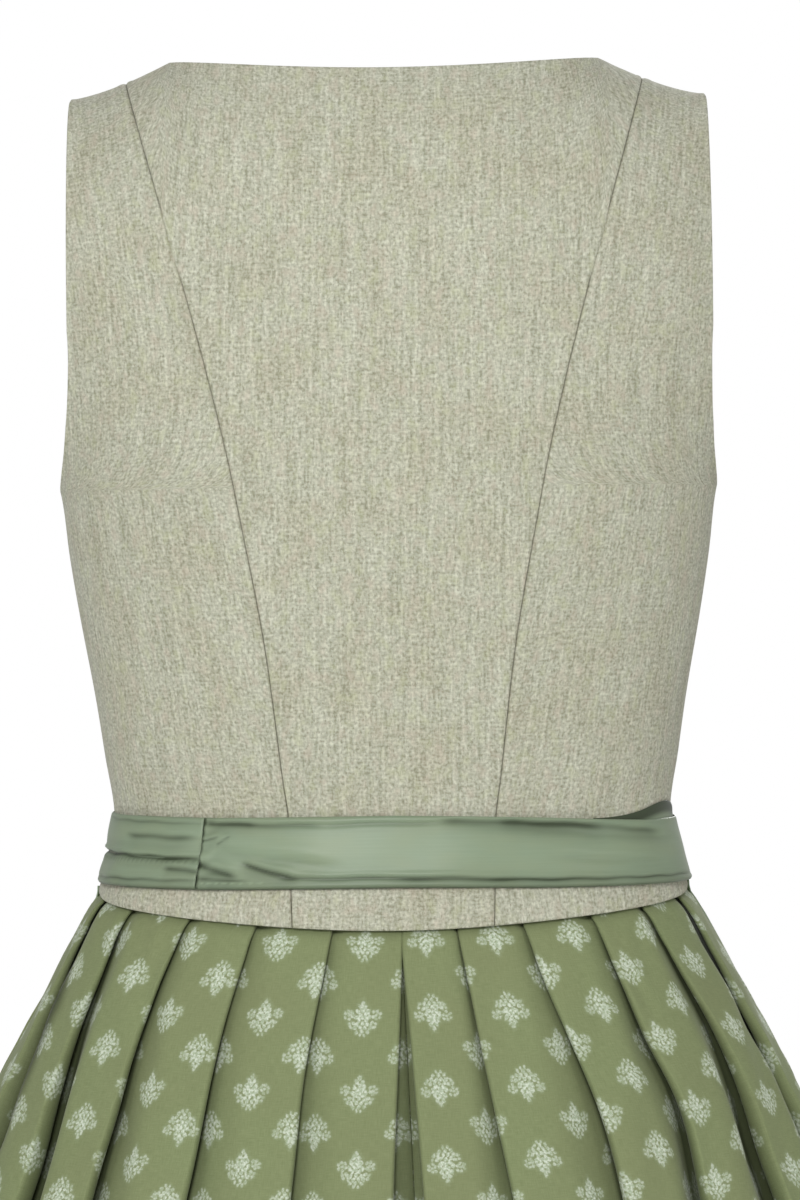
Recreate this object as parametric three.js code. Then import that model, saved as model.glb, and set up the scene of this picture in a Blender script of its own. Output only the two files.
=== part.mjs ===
// A sleeveless dirndl dress with its apron, standing open and hollow as if it were worn.
// Units are millimetres, +Z is up and the front faces -Y, so +X is the wearer's left.
// The origin lies between the shoulder straps, level with the neck end of the shoulder seams.
//
// Pieces, as a maker cuts them: a bodice of seven panels with princess seams, a skirt of eight
// pleated gores that meet in an inverted pleat at the centre back, and an apron of one gathered
// panel with its waistband, two ties and the bow that they make.
import * as THREE from "three";
import { mergeVertices } from "three/addons/utils/BufferGeometryUtils.js";

// ---------------------------------------------------------------- driving sizes
const WALL = { bodice: 1.6, skirt: 1.2, apron: 1.0, ribbon: 1.0 };
const SEAM_GAP = 0.3; // between two pieces that are sewn together
const NECK_X = 104.5; // neck end of the shoulder seam
const SHOULDER_X = 154; // arm end of the shoulder seam
const SHOULDER_DROP = 17; // how far that seam falls from neck to arm
const NECK_RISE = 30; // how far the body's surface would go on rising inside the neckline
const SPRING_Z = -110; // above this level the cloth rolls over the shoulder
const UNDERARM_Z = -205;
const ARMHOLE_ROUND = 75; // height of the armhole's rounded lower end
const SEAM_SIDE_Z = -397; // the waist seam at the sides
const SEAM_DIP = { back: 15, front: 12 }; // how much lower it runs at the centre back and front
const LAP_X = 12; // the right front laps over the left one by this much
const FRONT_NECK_Z = { centre: -152, corner: -118 };
const HEM_Z = -1030;
const PLEATS_PER_SIDE = 12;
const PLEATS_PER_GORE = 3;
const BAND = { top: -361, bottom: -395.5 }; // waistband and ties
const BAND_END_DEG = 42; // the waistband stops this far round from the centre back
const APRON_HEM_Z = -965;
const BOW = {
  degrees: 164, // round from the centre back, on the wearer's left
  loop: 78,
  loopDepth: 17,
  loopDrop: 6, // how much lower a loop's end hangs than its start
  loopTurn: 7, // degrees by which a loop follows the waist round
  knotWidth: 24,
  knotDepth: 13,
};
const BUTTONS = { count: 6, top: -172, bottom: -325, radius: 6.5, height: 3.4 };

// Level sections of the torso: the half width, and how far the back, the front and the line of
// the sides lie from the origin's upright plane.
const TORSO = [
  { z: -425, halfWidth: 145, back: 90, front: -111, side: -9 },
  { z: -397, halfWidth: 141.6, back: 86, front: -107, side: -9 },
  { z: -380, halfWidth: 136.8, back: 82, front: -104, side: -10 },
  { z: -360, halfWidth: 133.5, back: 79, front: -103, side: -11 },
  { z: -332, halfWidth: 137.6, back: 81, front: -109, side: -11 },
  { z: -303, halfWidth: 142, back: 85, front: -119, side: -11 },
  { z: -265, halfWidth: 148.8, back: 91, front: -133, side: -10 },
  { z: -236, halfWidth: 153.4, back: 95, front: -138, side: -9 },
  { z: -207, halfWidth: 157, back: 98, front: -137, side: -8 },
  { z: -190, halfWidth: 162, back: 99.5, front: -133, side: -7 },
  { z: -172, halfWidth: 169, back: 100.5, front: -127, side: -6 },
  { z: -150, halfWidth: 176.5, back: 101, front: -119, side: -5 },
  { z: -130, halfWidth: 179.5, back: 101.5, front: -112, side: -5 },
  { z: -110, halfWidth: 180, back: 101.5, front: -107, side: -5 },
];
const TORSO_POWER = { back: 2.3, front: 2.5 }; // 2 is an ellipse, more is squarer

// Level sections of the skirt's outside, with the depth of its folds: how far a fold reaches
// under the next pleat, the step between two layers, half the opening at the centre back, and
// how far that opening is turned towards the wearer's left.
const SKIRT = [
  { z: -400, halfWidth: 141.9, back: 87, front: -108, side: -9, fold: 24, step: 2, open: 0.9, turn: -4 },
  { z: -410, halfWidth: 148.5, back: 92.5, front: -113, side: -9, fold: 24, step: 2.1, open: 1.3, turn: -4 },
  { z: -460, halfWidth: 175.5, back: 112, front: -132, side: -9, fold: 23.5, step: 2.5, open: 4.5, turn: -6 },
  { z: -546, halfWidth: 217, back: 145, front: -162, side: -8, fold: 22.5, step: 3.2, open: 9, turn: -9 },
  { z: -680, halfWidth: 268, back: 192, front: -205, side: -6, fold: 20, step: 4.6, open: 13, turn: -9 },
  { z: -850, halfWidth: 318, back: 249, front: -259, side: -4, fold: 17, step: 6.4, open: 16, turn: -9 },
  { z: HEM_Z, halfWidth: 354, back: 298, front: -306, side: -3, fold: 14, step: 8, open: 18, turn: -9 },
];
const SKIRT_POWER = 2.15;

// The princess seams and the strap's inner edge in front, as distances from the centre.
const BACK_SEAM = [
  { z: -425, x: 46 },
  { z: -361, x: 48.5 },
  { z: -342, x: 51 },
  { z: -277, x: 59 },
  { z: -219, x: 69.5 },
  { z: -186, x: 76 },
  { z: -144, x: 86 },
  { z: -97, x: 98.5 },
  { z: -53, x: 111 },
  { z: -8, x: 124 },
];
const FRONT_SEAM = [
  { z: -425, x: 48 },
  { z: -360, x: 51 },
  { z: -332, x: 55 },
  { z: -303, x: 63 },
  { z: -265, x: 76 },
  { z: -236, x: 85 },
  { z: -207, x: 91 },
  { z: -150, x: 92 },
  { z: -118, x: 91 },
  { z: -80, x: 96 },
  { z: -40, x: 101.5 },
  { z: 0, x: NECK_X },
];

// ---------------------------------------------------------------- small helpers
const radians = THREE.MathUtils.degToRad;
const lerp = THREE.MathUtils.lerp;
const steps = (count) => Array.from({ length: count + 1 }, (_, i) => i / count);

// Reads one column of a table at height z, along a smooth curve through its rows.
function column(table, key, z) {
  const rows = table[0].z < table[1].z ? table : [...table].reverse();
  let i = rows.findIndex((row) => row.z >= z);
  i = Math.min(Math.max(i < 0 ? rows.length - 1 : i, 1), rows.length - 1);
  const slope = (k) => {
    const before = rows[Math.max(k - 1, 0)];
    const after = rows[Math.min(k + 1, rows.length - 1)];
    return (after[key] - before[key]) / (after.z - before.z);
  };
  const [low, high] = [rows[i - 1], rows[i]];
  const span = high.z - low.z;
  const u = THREE.MathUtils.clamp((z - low.z) / span, 0, 1);
  return (
    (2 * u ** 3 - 3 * u ** 2 + 1) * low[key] +
    (u ** 3 - 2 * u ** 2 + u) * span * slope(i - 1) +
    (3 * u ** 2 - 2 * u ** 3) * high[key] +
    (u ** 3 - u ** 2) * span * slope(i)
  );
}

// A closed wall between two grids of points with the same rows and columns.
// Rows run upwards and columns run so that the outside grid faces out.
function wall(outside, inside) {
  const rows = outside.length;
  const columns = outside[0].length;
  const points = [...outside.flat(), ...inside.flat()];
  const at = (layer, row, col) => layer * rows * columns + row * columns + col;
  const index = [];
  const quad = (a, b, c, d) => index.push(a, b, c, a, c, d);
  for (let r = 0; r < rows - 1; r++)
    for (let c = 0; c < columns - 1; c++) {
      quad(at(0, r, c), at(0, r, c + 1), at(0, r + 1, c + 1), at(0, r + 1, c));
      quad(at(1, r, c), at(1, r + 1, c), at(1, r + 1, c + 1), at(1, r, c + 1));
    }
  for (let r = 0; r < rows - 1; r++) {
    const last = columns - 1;
    quad(at(1, r, 0), at(0, r, 0), at(0, r + 1, 0), at(1, r + 1, 0));
    quad(at(0, r, last), at(1, r, last), at(1, r + 1, last), at(0, r + 1, last));
  }
  for (let c = 0; c < columns - 1; c++) {
    const top = rows - 1;
    quad(at(0, 0, c), at(1, 0, c), at(1, 0, c + 1), at(0, 0, c + 1));
    quad(at(1, top, c), at(0, top, c), at(0, top, c + 1), at(1, top, c + 1));
  }
  const geometry = new THREE.BufferGeometry().setFromPoints(points);
  geometry.setIndex(index);
  return geometry;
}

// The same wall for a grid of { point, normal }, with its outside moved out by `offset`.
function shell(grid, thickness, offset = 0) {
  const moved = (distance) =>
    grid.map((row) => row.map(({ point, normal }) => point.clone().addScaledVector(normal, distance)));
  return wall(moved(offset), moved(offset - thickness));
}

// Swaps left for right: the points are mirrored and each triangle is turned round.
function mirrored(geometry) {
  const copy = (geometry.index ? geometry.clone() : mergeVertices(geometry)).scale(-1, 1, 1);
  const index = copy.index.array;
  for (let i = 0; i < index.length; i += 3) [index[i + 1], index[i + 2]] = [index[i + 2], index[i + 1]];
  return copy;
}

const root = new THREE.Group();
root.name = "dirndl_dress";

function piece(name, geometry, finish) {
  const mesh = new THREE.Mesh(geometry, finish);
  mesh.name = name;
  root.add(mesh);
  return mesh;
}

const cloth = (color, roughness = 0.9) =>
  new THREE.MeshStandardMaterial({ color, roughness, metalness: 0 });
const FINISH = {
  bodice: cloth(0xbdbcaa),
  skirt: cloth(0x849065),
  apron: cloth(0x9caa90, 0.5),
  button: new THREE.MeshStandardMaterial({ color: 0x8f8a7c, roughness: 0.35, metalness: 0.9 }),
};

// ---------------------------------------------------------------- the torso's surface
// Angles run round the body from the centre back (0) over the wearer's left side (90) to the
// centre front (180). A level section is a superellipse with its own depth at back and front.
const signedPower = (value, power) => Math.sign(value) * Math.abs(value) ** power;

function torsoSection(z) {
  const read = (key) => column(TORSO, key, z);
  return { halfWidth: read("halfWidth"), back: read("back"), front: read("front"), side: read("side") };
}

function sectionPoint(section, angle, z, power) {
  const behind = Math.cos(angle) >= 0;
  const depth = behind ? section.back - section.side : section.side - section.front;
  const exponent = 2 / (power ?? (behind ? TORSO_POWER.back : TORSO_POWER.front));
  return new THREE.Vector3(
    section.halfWidth * signedPower(Math.sin(angle), exponent),
    section.side + depth * signedPower(Math.cos(angle), exponent),
    z,
  );
}

// The angle at which the section at height z is x away from the centre, on the wearer's left.
function angleAtX(x, z, onBack) {
  const power = onBack ? TORSO_POWER.back : TORSO_POWER.front;
  const share = Math.min(Math.abs(x) / torsoSection(z).halfWidth, 1);
  const angle = Math.asin(share ** (power / 2)) * Math.sign(x || 1);
  return onBack ? angle : Math.PI - angle;
}

const shoulderFall = (x) =>
  -SHOULDER_DROP * (1 - Math.max((SHOULDER_X - x) / (SHOULDER_X - NECK_X), 0) ** 1.5);
const bodyTop = (x) =>
  x > NECK_X ? shoulderFall(x) : NECK_RISE * (1 - (x / NECK_X) ** 2.5);

// A point of the torso. Up to SPRING_Z `level` is the height; past it, `level - SPRING_Z` is the
// angle in degrees by which the cloth has rolled forwards over the shoulder, 90 at the seam.
function torsoPoint(angle, level) {
  if (level <= SPRING_Z) return sectionPoint(torsoSection(level), angle, level);
  const roll = radians(level - SPRING_Z);
  const base = sectionPoint(torsoSection(SPRING_Z), angle, SPRING_Z);
  const seamY = (Math.cos(angle) >= 0 ? 0.5 : -0.5) * SEAM_GAP;
  const rise = bodyTop(Math.abs(base.x)) - SPRING_Z;
  return new THREE.Vector3(
    base.x,
    seamY + (base.y - seamY) * Math.cos(roll),
    SPRING_Z + rise * Math.sin(roll),
  );
}

// The point with its outward normal, from the surface's slopes in both directions.
function torso(angle, level) {
  const dAngle = 0.004;
  const dLevel = level > SPRING_Z || level + 0.5 > SPRING_Z ? -0.5 : 0.5;
  const across = torsoPoint(angle + dAngle, level).sub(torsoPoint(angle - dAngle, level));
  const point = torsoPoint(angle, level);
  const up = torsoPoint(angle, level + dLevel).sub(point).multiplyScalar(Math.sign(dLevel));
  const normal = new THREE.Vector3().crossVectors(up, across).normalize();
  return { point, normal };
}

// ---------------------------------------------------------------- bodice panels
// The height of the waist seam over a point of the plan.
function seamZ(point) {
  const side = SKIRT[0].side;
  const share = (point.y - side) / Math.hypot(point.x, point.y - side);
  return SEAM_SIDE_Z - (share > 0 ? SEAM_DIP.back : SEAM_DIP.front) * Math.abs(share);
}

const LOWER_LEVELS = [-380, -358, -325, -285, -245];
const ARMHOLE_LEVELS = [UNDERARM_Z, -201, -190, -165, -130, SPRING_Z];
const ROLL_LEVELS = [24, 46, 68, 90].map((degrees) => SPRING_Z + degrees);
const BODICE_LEVELS = [...LOWER_LEVELS, ...ARMHOLE_LEVELS, ...ROLL_LEVELS];

// An edge whose distance from the centre is a table of z, met at a level of the roll too.
function edgeAngle(table, level, onBack, gap) {
  let z = Math.min(level, SPRING_Z);
  if (level > SPRING_Z)
    for (let pass = 0; pass < 8; pass++) {
      const x = column(table, "x", z);
      z = SPRING_Z + (bodyTop(x) - SPRING_Z) * Math.sin(radians(level - SPRING_Z));
    }
  return angleAtX(column(table, "x", z) + gap, Math.min(level, SPRING_Z), onBack);
}

// The panel's outer edge: the side seam up to the underarm, then the armhole.
function armholeAngle(level, onBack) {
  if (level <= UNDERARM_Z) return Math.PI / 2 + ((onBack ? -1 : 1) * SEAM_GAP) / 2 / 90;
  const scoop = onBack ? 0 : 10; // the front is cut further in than the back
  const straightFrom = UNDERARM_Z + ARMHOLE_ROUND;
  if (level >= straightFrom) {
    const rolled = level > SPRING_Z ? Math.cos(radians(level - SPRING_Z)) : 1;
    return angleAtX(SHOULDER_X - scoop * rolled, Math.min(level, SPRING_Z), onBack);
  }
  const straight = angleAtX(SHOULDER_X - scoop, straightFrom, onBack);
  const reach = sectionPoint(torsoSection(straightFrom), straight, straightFrom).y;
  const section = torsoSection(level);
  const share = Math.sqrt(1 - ((straightFrom - level) / ARMHOLE_ROUND) ** 2);
  const y = (reach - column(TORSO, "side", straightFrom)) * share;
  const depth = onBack ? section.back - section.side : section.side - section.front;
  const power = onBack ? TORSO_POWER.back : TORSO_POWER.front;
  return Math.acos(Math.sign(y) * (Math.abs(y) / depth) ** (power / 2));
}

// The waist seam's row has level normals, so that the edge of the wall lies in the seam.
function seamPoint(angle) {
  const z = seamZ(torsoPoint(angle, SEAM_SIDE_Z)) + SEAM_GAP;
  const { point, normal } = torso(angle, z);
  return { point, normal: normal.setZ(0).normalize() };
}

// A grid of torso points from the waist seam upwards. `angleAt` gives the angle at a level for
// a share of the panel's width, and `fullRoll` how far over the shoulder the panel reaches.
function panelGrid(shares, angleAt, fullRoll = () => 90) {
  const seam = shares.map((share) => seamPoint(angleAt(SEAM_SIDE_Z, share)));
  const rows = BODICE_LEVELS.map((level) =>
    shares.map((share) => {
      const angle = angleAt(level, share);
      if (level <= SPRING_Z) return torso(angle, level);
      const x = Math.abs(torsoPoint(angle, SPRING_Z).x);
      return torso(angle, SPRING_Z + ((level - SPRING_Z) / 90) * fullRoll(x));
    }),
  );
  return [seam, ...rows];
}

const PANEL_SHARES = [0, 0.25, 0.5, 0.75, 1];

// Centre back: its upper edge is the back neckline between the ends of the shoulder seams.
function backGrid() {
  const neckDip = 8;
  const neckRoll = (x) => {
    if (x >= NECK_X) return 90;
    const z = -neckDip * (1 - (x / NECK_X) ** 2);
    return (Math.asin((z - SPRING_Z) / (bodyTop(x) - SPRING_Z)) * 180) / Math.PI;
  };
  const shares = [1, 0.86, 0.66, 0.36, 0, -0.36, -0.66, -0.86, -1];
  const angleAt = (level, share) => edgeAngle(BACK_SEAM, level, true, -SEAM_GAP / 2) * share;
  return panelGrid(shares, angleAt, neckRoll);
}

// Side back, wearer's left: side seam and armhole to princess seam.
const sideBackGrid = () =>
  panelGrid(PANEL_SHARES, (level, share) =>
    lerp(armholeAngle(level, true), edgeAngle(BACK_SEAM, level, true, SEAM_GAP / 2), share),
  );

// Side front, wearer's left: princess seam to side seam and armhole, with the shoulder strap.
const sideFrontGrid = () =>
  panelGrid(PANEL_SHARES, (level, share) =>
    lerp(edgeAngle(FRONT_SEAM, level, false, SEAM_GAP / 2), armholeAngle(level, false), share),
  );

// Centre front, wearer's left (side 1) or right (side -1): from the lap line to the princess
// seam, with the front neckline as its upper edge.
function centreFrontGrid(side) {
  const inner = side > 0 ? LAP_X + SEAM_GAP : -LAP_X;
  const edgeX = (z) => column(FRONT_SEAM, "x", z) - SEAM_GAP / 2;
  const angleAt = (z, share) => angleAtX(side * lerp(inner, edgeX(z), share), z, false);
  const neckZ = (share) => {
    const { centre, corner } = FRONT_NECK_Z;
    const x = lerp(inner, edgeX(corner), share);
    return lerp(centre, corner, Math.abs(x / edgeX(corner)) ** 2.4);
  };
  const seam = PANEL_SHARES.map((share) => seamPoint(angleAt(SEAM_SIDE_Z, share)));
  const levels = [...LOWER_LEVELS, UNDERARM_Z, -180];
  const rows = levels.map((z) => PANEL_SHARES.map((share) => torso(angleAt(z, share), z)));
  const neckline = PANEL_SHARES.map((share) => torso(angleAt(neckZ(share), share), neckZ(share)));
  const grid = [seam, ...rows, neckline];
  return side > 0 ? grid : grid.map((row) => row.reverse());
}

function addBodice() {
  piece("bodice_back", shell(backGrid(), WALL.bodice), FINISH.bodice);
  const sideBack = shell(sideBackGrid(), WALL.bodice);
  piece("bodice_side_back_left", sideBack, FINISH.bodice);
  piece("bodice_side_back_right", mirrored(sideBack), FINISH.bodice);
  const sideFront = shell(sideFrontGrid(), WALL.bodice);
  piece("bodice_side_front_left", sideFront, FINISH.bodice);
  piece("bodice_side_front_right", mirrored(sideFront), FINISH.bodice);
  piece("bodice_front_left", shell(centreFrontGrid(1), WALL.bodice), FINISH.bodice);
  piece("bodice_front_right", shell(centreFrontGrid(-1), WALL.bodice), FINISH.bodice);
}

// A row of domed buttons on the lap, down the centre front.
function addButtons() {
  const { radius, height } = BUTTONS;
  const profile = [[0, 0], [radius, 0], [radius * 0.8, 0.75 * height], [0, height]].map(
    ([x, y]) => new THREE.Vector2(x, y),
  );
  for (const [i, share] of steps(BUTTONS.count - 1).entries()) {
    const { point, normal } = torso(Math.PI, lerp(BUTTONS.top, BUTTONS.bottom, share));
    const button = piece(`button_${i + 1}`, new THREE.LatheGeometry(profile, 8), FINISH.button);
    button.quaternion.setFromUnitVectors(new THREE.Vector3(0, 1, 0), normal);
    button.position.copy(point).addScaledVector(normal, 2 * SEAM_GAP);
  }
}

// ---------------------------------------------------------------- the skirt
// A level section of the skirt, ready to be read by the distance round it from the centre back.
function skirtRing(z) {
  const row = { z };
  for (const key of Object.keys(SKIRT[0])) if (key !== "z") row[key] = column(SKIRT, key, z);
  const down = Math.min((SKIRT[0].z - z) / 60, 1);
  const power = {
    back: lerp(TORSO_POWER.back, SKIRT_POWER, down),
    front: lerp(TORSO_POWER.front, SKIRT_POWER, down),
  };
  const count = 240;
  const points = steps(count).map((u) =>
    sectionPoint(row, u * Math.PI, z, u < 0.5 ? power.back : power.front),
  );
  const along = [0];
  for (let i = 1; i <= count; i++) along.push(along[i - 1] + points[i].distanceTo(points[i - 1]));
  row.half = along[count];
  // `distance` is positive towards the wearer's left and may pass the centre front.
  row.at = (distance) => {
    const wrapped = THREE.MathUtils.euclideanModulo(distance + row.half, 2 * row.half) - row.half;
    const target = Math.abs(wrapped);
    const i = Math.max(along.findIndex((length) => length >= target), 1);
    const share = (target - along[i - 1]) / (along[i] - along[i - 1]);
    const point = points[i - 1].clone().lerp(points[i], share);
    const ahead = points[Math.min(i + 1, count)].clone().sub(points[Math.max(i - 2, 0)]);
    const normal = new THREE.Vector3(-ahead.y, ahead.x, 0).normalize();
    if (wrapped < 0) {
      point.x *= -1;
      normal.x *= -1;
    }
    return { point, normal };
  };
  return row;
}

// The skirt's rows, as shares of the way down from the waist seam, which dips, to the hem.
const SKIRT_ROWS = [1, 0.72, 0.42, 0.18, 0.05, 0];
const skirtRow = (share) => skirtRing(lerp(SKIRT[0].z, HEM_Z, share));

// The line that a gore's cloth follows in one level section, as distance round and depth under
// the outermost layer. A pleat's visible face runs flat from its fold edge to its crown, slopes
// under the next pleat, turns back on itself there and comes out as that pleat's fold edge.
function goreLine(ring, gore) {
  const { half, fold, step, open } = ring;
  const width = (half - open) / PLEATS_PER_SIDE;
  const edge = (k) => open + k * width;
  const first = gore * PLEATS_PER_GORE;
  const next = first + PLEATS_PER_GORE;
  const start = gore === 0 ? SEAM_GAP / 2 : edge(first) + (fold + SEAM_GAP) / 2;
  const line = [[start, -2 * step]];
  for (let k = first; k < next; k++) {
    const overSeam = k === first && gore > 0; // each layer needs a corner above the gore's seam
    line.push([edge(k) + fold, -2 * step], [edge(k) + fold, -step]);
    if (overSeam) line.push([edge(k) + fold / 2, -step]);
    line.push([edge(k), -step], [edge(k), 0]);
    if (overSeam) line.push([edge(k) + fold / 2, -0.05 * step]);
    line.push([edge(k) + lerp(fold, width, 0.15), -0.1 * step]);
    if (k < PLEATS_PER_SIDE - 1) line.push([edge(k + 1), -2 * step]);
  }
  if (next === PLEATS_PER_SIDE) line.push([half - SEAM_GAP / 2, -0.5 * step]);
  else line.push([edge(next) + (fold - SEAM_GAP) / 2, -2 * step]);
  return line.map(([x, y]) => new THREE.Vector2(x, y));
}

// The line moved sideways by `distance`, with mitred corners.
function offsetLine(line, distance) {
  const left = (a, b) => {
    const d = b.clone().sub(a).normalize();
    return new THREE.Vector2(-d.y, d.x);
  };
  return line.map((point, i) => {
    const before = i > 0 ? left(line[i - 1], point) : left(point, line[i + 1]);
    const after = i < line.length - 1 ? left(point, line[i + 1]) : before;
    const mitre = before.clone().add(after).normalize();
    return point.clone().addScaledVector(mitre, distance / mitre.dot(before));
  });
}

function goreGeometry(gore, side) {
  const layer = (distance) =>
    SKIRT_ROWS.map((share) => {
      const ring = skirtRow(share);
      const row = offsetLine(goreLine(ring, gore), distance).map(({ x, y }) => {
        const { point, normal } = ring.at(side * x + ring.turn);
        point.addScaledVector(normal, y - WALL.skirt / 2);
        return point.setZ(lerp(seamZ(point) - SEAM_GAP, HEM_Z, share));
      });
      return side > 0 ? row.reverse() : row;
    });
  return wall(layer(WALL.skirt / 2), layer(-WALL.skirt / 2));
}

function addSkirt() {
  const gores = PLEATS_PER_SIDE / PLEATS_PER_GORE;
  for (const [side, word] of [[1, "left"], [-1, "right"]])
    for (let gore = 0; gore < gores; gore++)
      piece(`skirt_gore_${word}_${gore + 1}`, goreGeometry(gore, side), FINISH.skirt);
}

// ---------------------------------------------------------------- waistband, ties and bow
// A strip that follows the waist from one angle to another, standing `offset` off the bodice.
function waistStrip(fromDegrees, toDegrees, offset, rise = () => 0) {
  const segments = Math.ceil(Math.abs(fromDegrees - toDegrees) / 6);
  const grid = [0, 1].map((up) =>
    steps(segments).map((u) => {
      const degrees = lerp(fromDegrees, toDegrees, u);
      const z = lerp(BAND.bottom, BAND.top, up) + rise(degrees);
      const { point, normal } = torso(radians(degrees), z);
      return { point: point.addScaledVector(normal, offset(degrees)), normal };
    }),
  );
  return shell(grid, WALL.ribbon, WALL.ribbon);
}

// How far the layers lie off the bodice: the one beneath, and the tie that covers it.
const UNDER_OFFSET = 0.7;
const TIE_OFFSET = 3;

function addWaist() {
  const left = BAND_END_DEG;
  const right = 360 - BAND_END_DEG;
  // The band stands off where the hidden tie lies under it, and rides up on the wearer's right.
  const hidden = { reach: 20, rampStart: 24, rampEnd: 40 }; // degrees past the band's left end
  const ride = { height: 5, centre: 284, width: 20 };
  const bandOffset = (degrees) => {
    const past = degrees - left;
    const ramp = THREE.MathUtils.smoothstep(past, hidden.rampStart, hidden.rampEnd);
    return lerp(TIE_OFFSET, UNDER_OFFSET, ramp);
  };
  const bandRise = (degrees) => ride.height * Math.exp(-(((degrees - ride.centre) / ride.width) ** 2));
  const band = waistStrip(right, left, bandOffset, bandRise);
  piece("apron_waistband", band, FINISH.apron);
  const pastKnot = 6; // degrees: both ties end just inside the knot
  const tieLeft = waistStrip(left - SEAM_GAP, BOW.degrees + pastKnot - 360, () => TIE_OFFSET);
  piece("apron_tie_left", tieLeft, FINISH.apron);
  const tieRight = waistStrip(left + hidden.reach, 2 * SEAM_GAP - left, () => UNDER_OFFSET);
  piece("apron_tie_right", tieRight, FINISH.apron);
}

// The bow stands on the waistband at the wearer's left front. Its own frame has x along the
// waist towards the wearer's left, y up and z out from the body.
function bowFrame() {
  const middle = (BAND.top + BAND.bottom) / 2;
  const { point, normal } = torso(radians(BOW.degrees), middle);
  const up = new THREE.Vector3(0, 0, 1);
  const out = normal.setZ(0).normalize();
  const along = new THREE.Vector3().crossVectors(up, out);
  const frame = new THREE.Group();
  frame.quaternion.setFromRotationMatrix(new THREE.Matrix4().makeBasis(along, up, out));
  frame.position.copy(point).addScaledVector(out, TIE_OFFSET + WALL.ribbon + SEAM_GAP);
  return frame;
}

// One loop of the bow: a teardrop of ribbon seen from above, as tall as the ribbon is wide.
function bowLoop() {
  const { loop, loopDepth, loopDrop, knotWidth } = BOW;
  const outline = (inset) =>
    steps(14)
      .slice(1)
      .map((u) => {
        const turn = u * 2 * Math.PI;
        const along = inset + (loop / 2 - inset) * (1 - Math.cos(turn));
        const swell = Math.sin(turn / 2) ** 0.9;
        const out = (loopDepth / 2 - inset) * Math.sin(turn) * swell;
        return new THREE.Vector2(knotWidth / 2 + SEAM_GAP + along, loopDepth / 2 + out);
      });
  const shape = new THREE.Shape(outline(0));
  shape.holes.push(new THREE.Path(outline(1.3 * WALL.ribbon).reverse()));
  const width = BAND.top - BAND.bottom;
  return new THREE.ExtrudeGeometry(shape, { depth: width, bevelEnabled: false })
    .translate(0, 0, -width / 2)
    .rotateX(Math.PI / 2)
    .applyMatrix4(new THREE.Matrix4().makeShear(-loopDrop / loop, 0, 0, 0, 0, 0))
    .rotateY(radians(BOW.loopTurn));
}

function addBow() {
  const { knotWidth, knotDepth } = BOW;
  const frame = bowFrame();
  const knot = new THREE.SphereGeometry(1, 10, 6)
    .scale(knotWidth / 2, (BAND.top - BAND.bottom) / 2, knotDepth / 2)
    .translate(0, 0, knotDepth / 2);
  const loop = bowLoop().translate(0, 3, 5); // clear of the apron under it
  frame.add(piece("bow_knot", knot, FINISH.apron));
  frame.add(piece("bow_loop_left", loop, FINISH.apron));
  frame.add(piece("bow_loop_right", mirrored(loop), FINISH.apron));
  root.add(frame);
}

// ---------------------------------------------------------------- the apron and the bow's tails
const APRON = { spread: 0.44, flutes: 9, clear: 2.5 }; // the spread is a share of the section
const FLUTE = { top: 1.6, hem: 15 }; // how deep the flutes are

const apronShare = (z) => (BAND.bottom - SEAM_GAP - z) / (BAND.bottom - SEAM_GAP - APRON_HEM_Z);
const fluteDepth = (share) => lerp(FLUTE.top, FLUTE.hem, share ** 0.8);

// A point over the skirt at height z, standing `lift` off its outermost layer.
function overSkirt(distanceFromFront, z, lift) {
  const ring = skirtRing(Math.min(z, SKIRT[0].z));
  const { point, normal } = ring.at(ring.half - distanceFromFront);
  return { point: point.setZ(z).addScaledVector(normal, lift), normal };
}

function addApron() {
  const { spread, flutes, clear } = APRON;
  const grid = SKIRT_ROWS.map((share) => {
    const z = lerp(BAND.bottom - SEAM_GAP, APRON_HEM_Z, share);
    const reach = spread * skirtRing(Math.min(z, SKIRT[0].z)).half;
    return steps(flutes * 4).map((u) => {
      const wave = 0.5 + 0.5 * Math.cos((2 * u - 1) * flutes * Math.PI);
      return overSkirt(lerp(-reach, reach, u), z, clear + fluteDepth(share) * wave);
    });
  });
  piece("apron_panel", shell(grid, WALL.apron, WALL.apron), FINISH.apron);
}

// A tail hangs from under the knot, leans a little to one side and lies on the apron's flutes.
function tailGeometry(length, lean, lift) {
  const ribbon = BAND.top - BAND.bottom;
  const gathered = 0.55; // the share of its width that the ribbon has under the knot
  const endSlant = 14; // how much longer one edge is at the cut end
  const start = torso(radians(BOW.degrees), BAND.bottom).point.x;
  const grid = [1, 0.8, 0.6, 0.4, 0.2, 0.06, 0].map((share) =>
    [-0.5, 0, 0.5].map((across) => {
      const z = BAND.bottom - 2 * SEAM_GAP - length * share;
      const width = ribbon * lerp(gathered, 1, Math.min(share * 3, 1));
      const slant = across * Math.sign(lean) * endSlant * share;
      const clear = APRON.clear + WALL.apron + fluteDepth(apronShare(z)) + lift;
      return overSkirt(start + lean * share * length + across * width, z + slant, clear);
    }),
  );
  return shell(grid, WALL.ribbon, WALL.ribbon);
}

function addTails() {
  piece("bow_tail_left", tailGeometry(250, 0.16, 1.2), FINISH.apron);
  piece("bow_tail_right", tailGeometry(225, -0.12, 3.4), FINISH.apron);
}

addBodice();
addButtons();
addSkirt();
addWaist();
addBow();
addApron();
addTails();

export default root;
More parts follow.
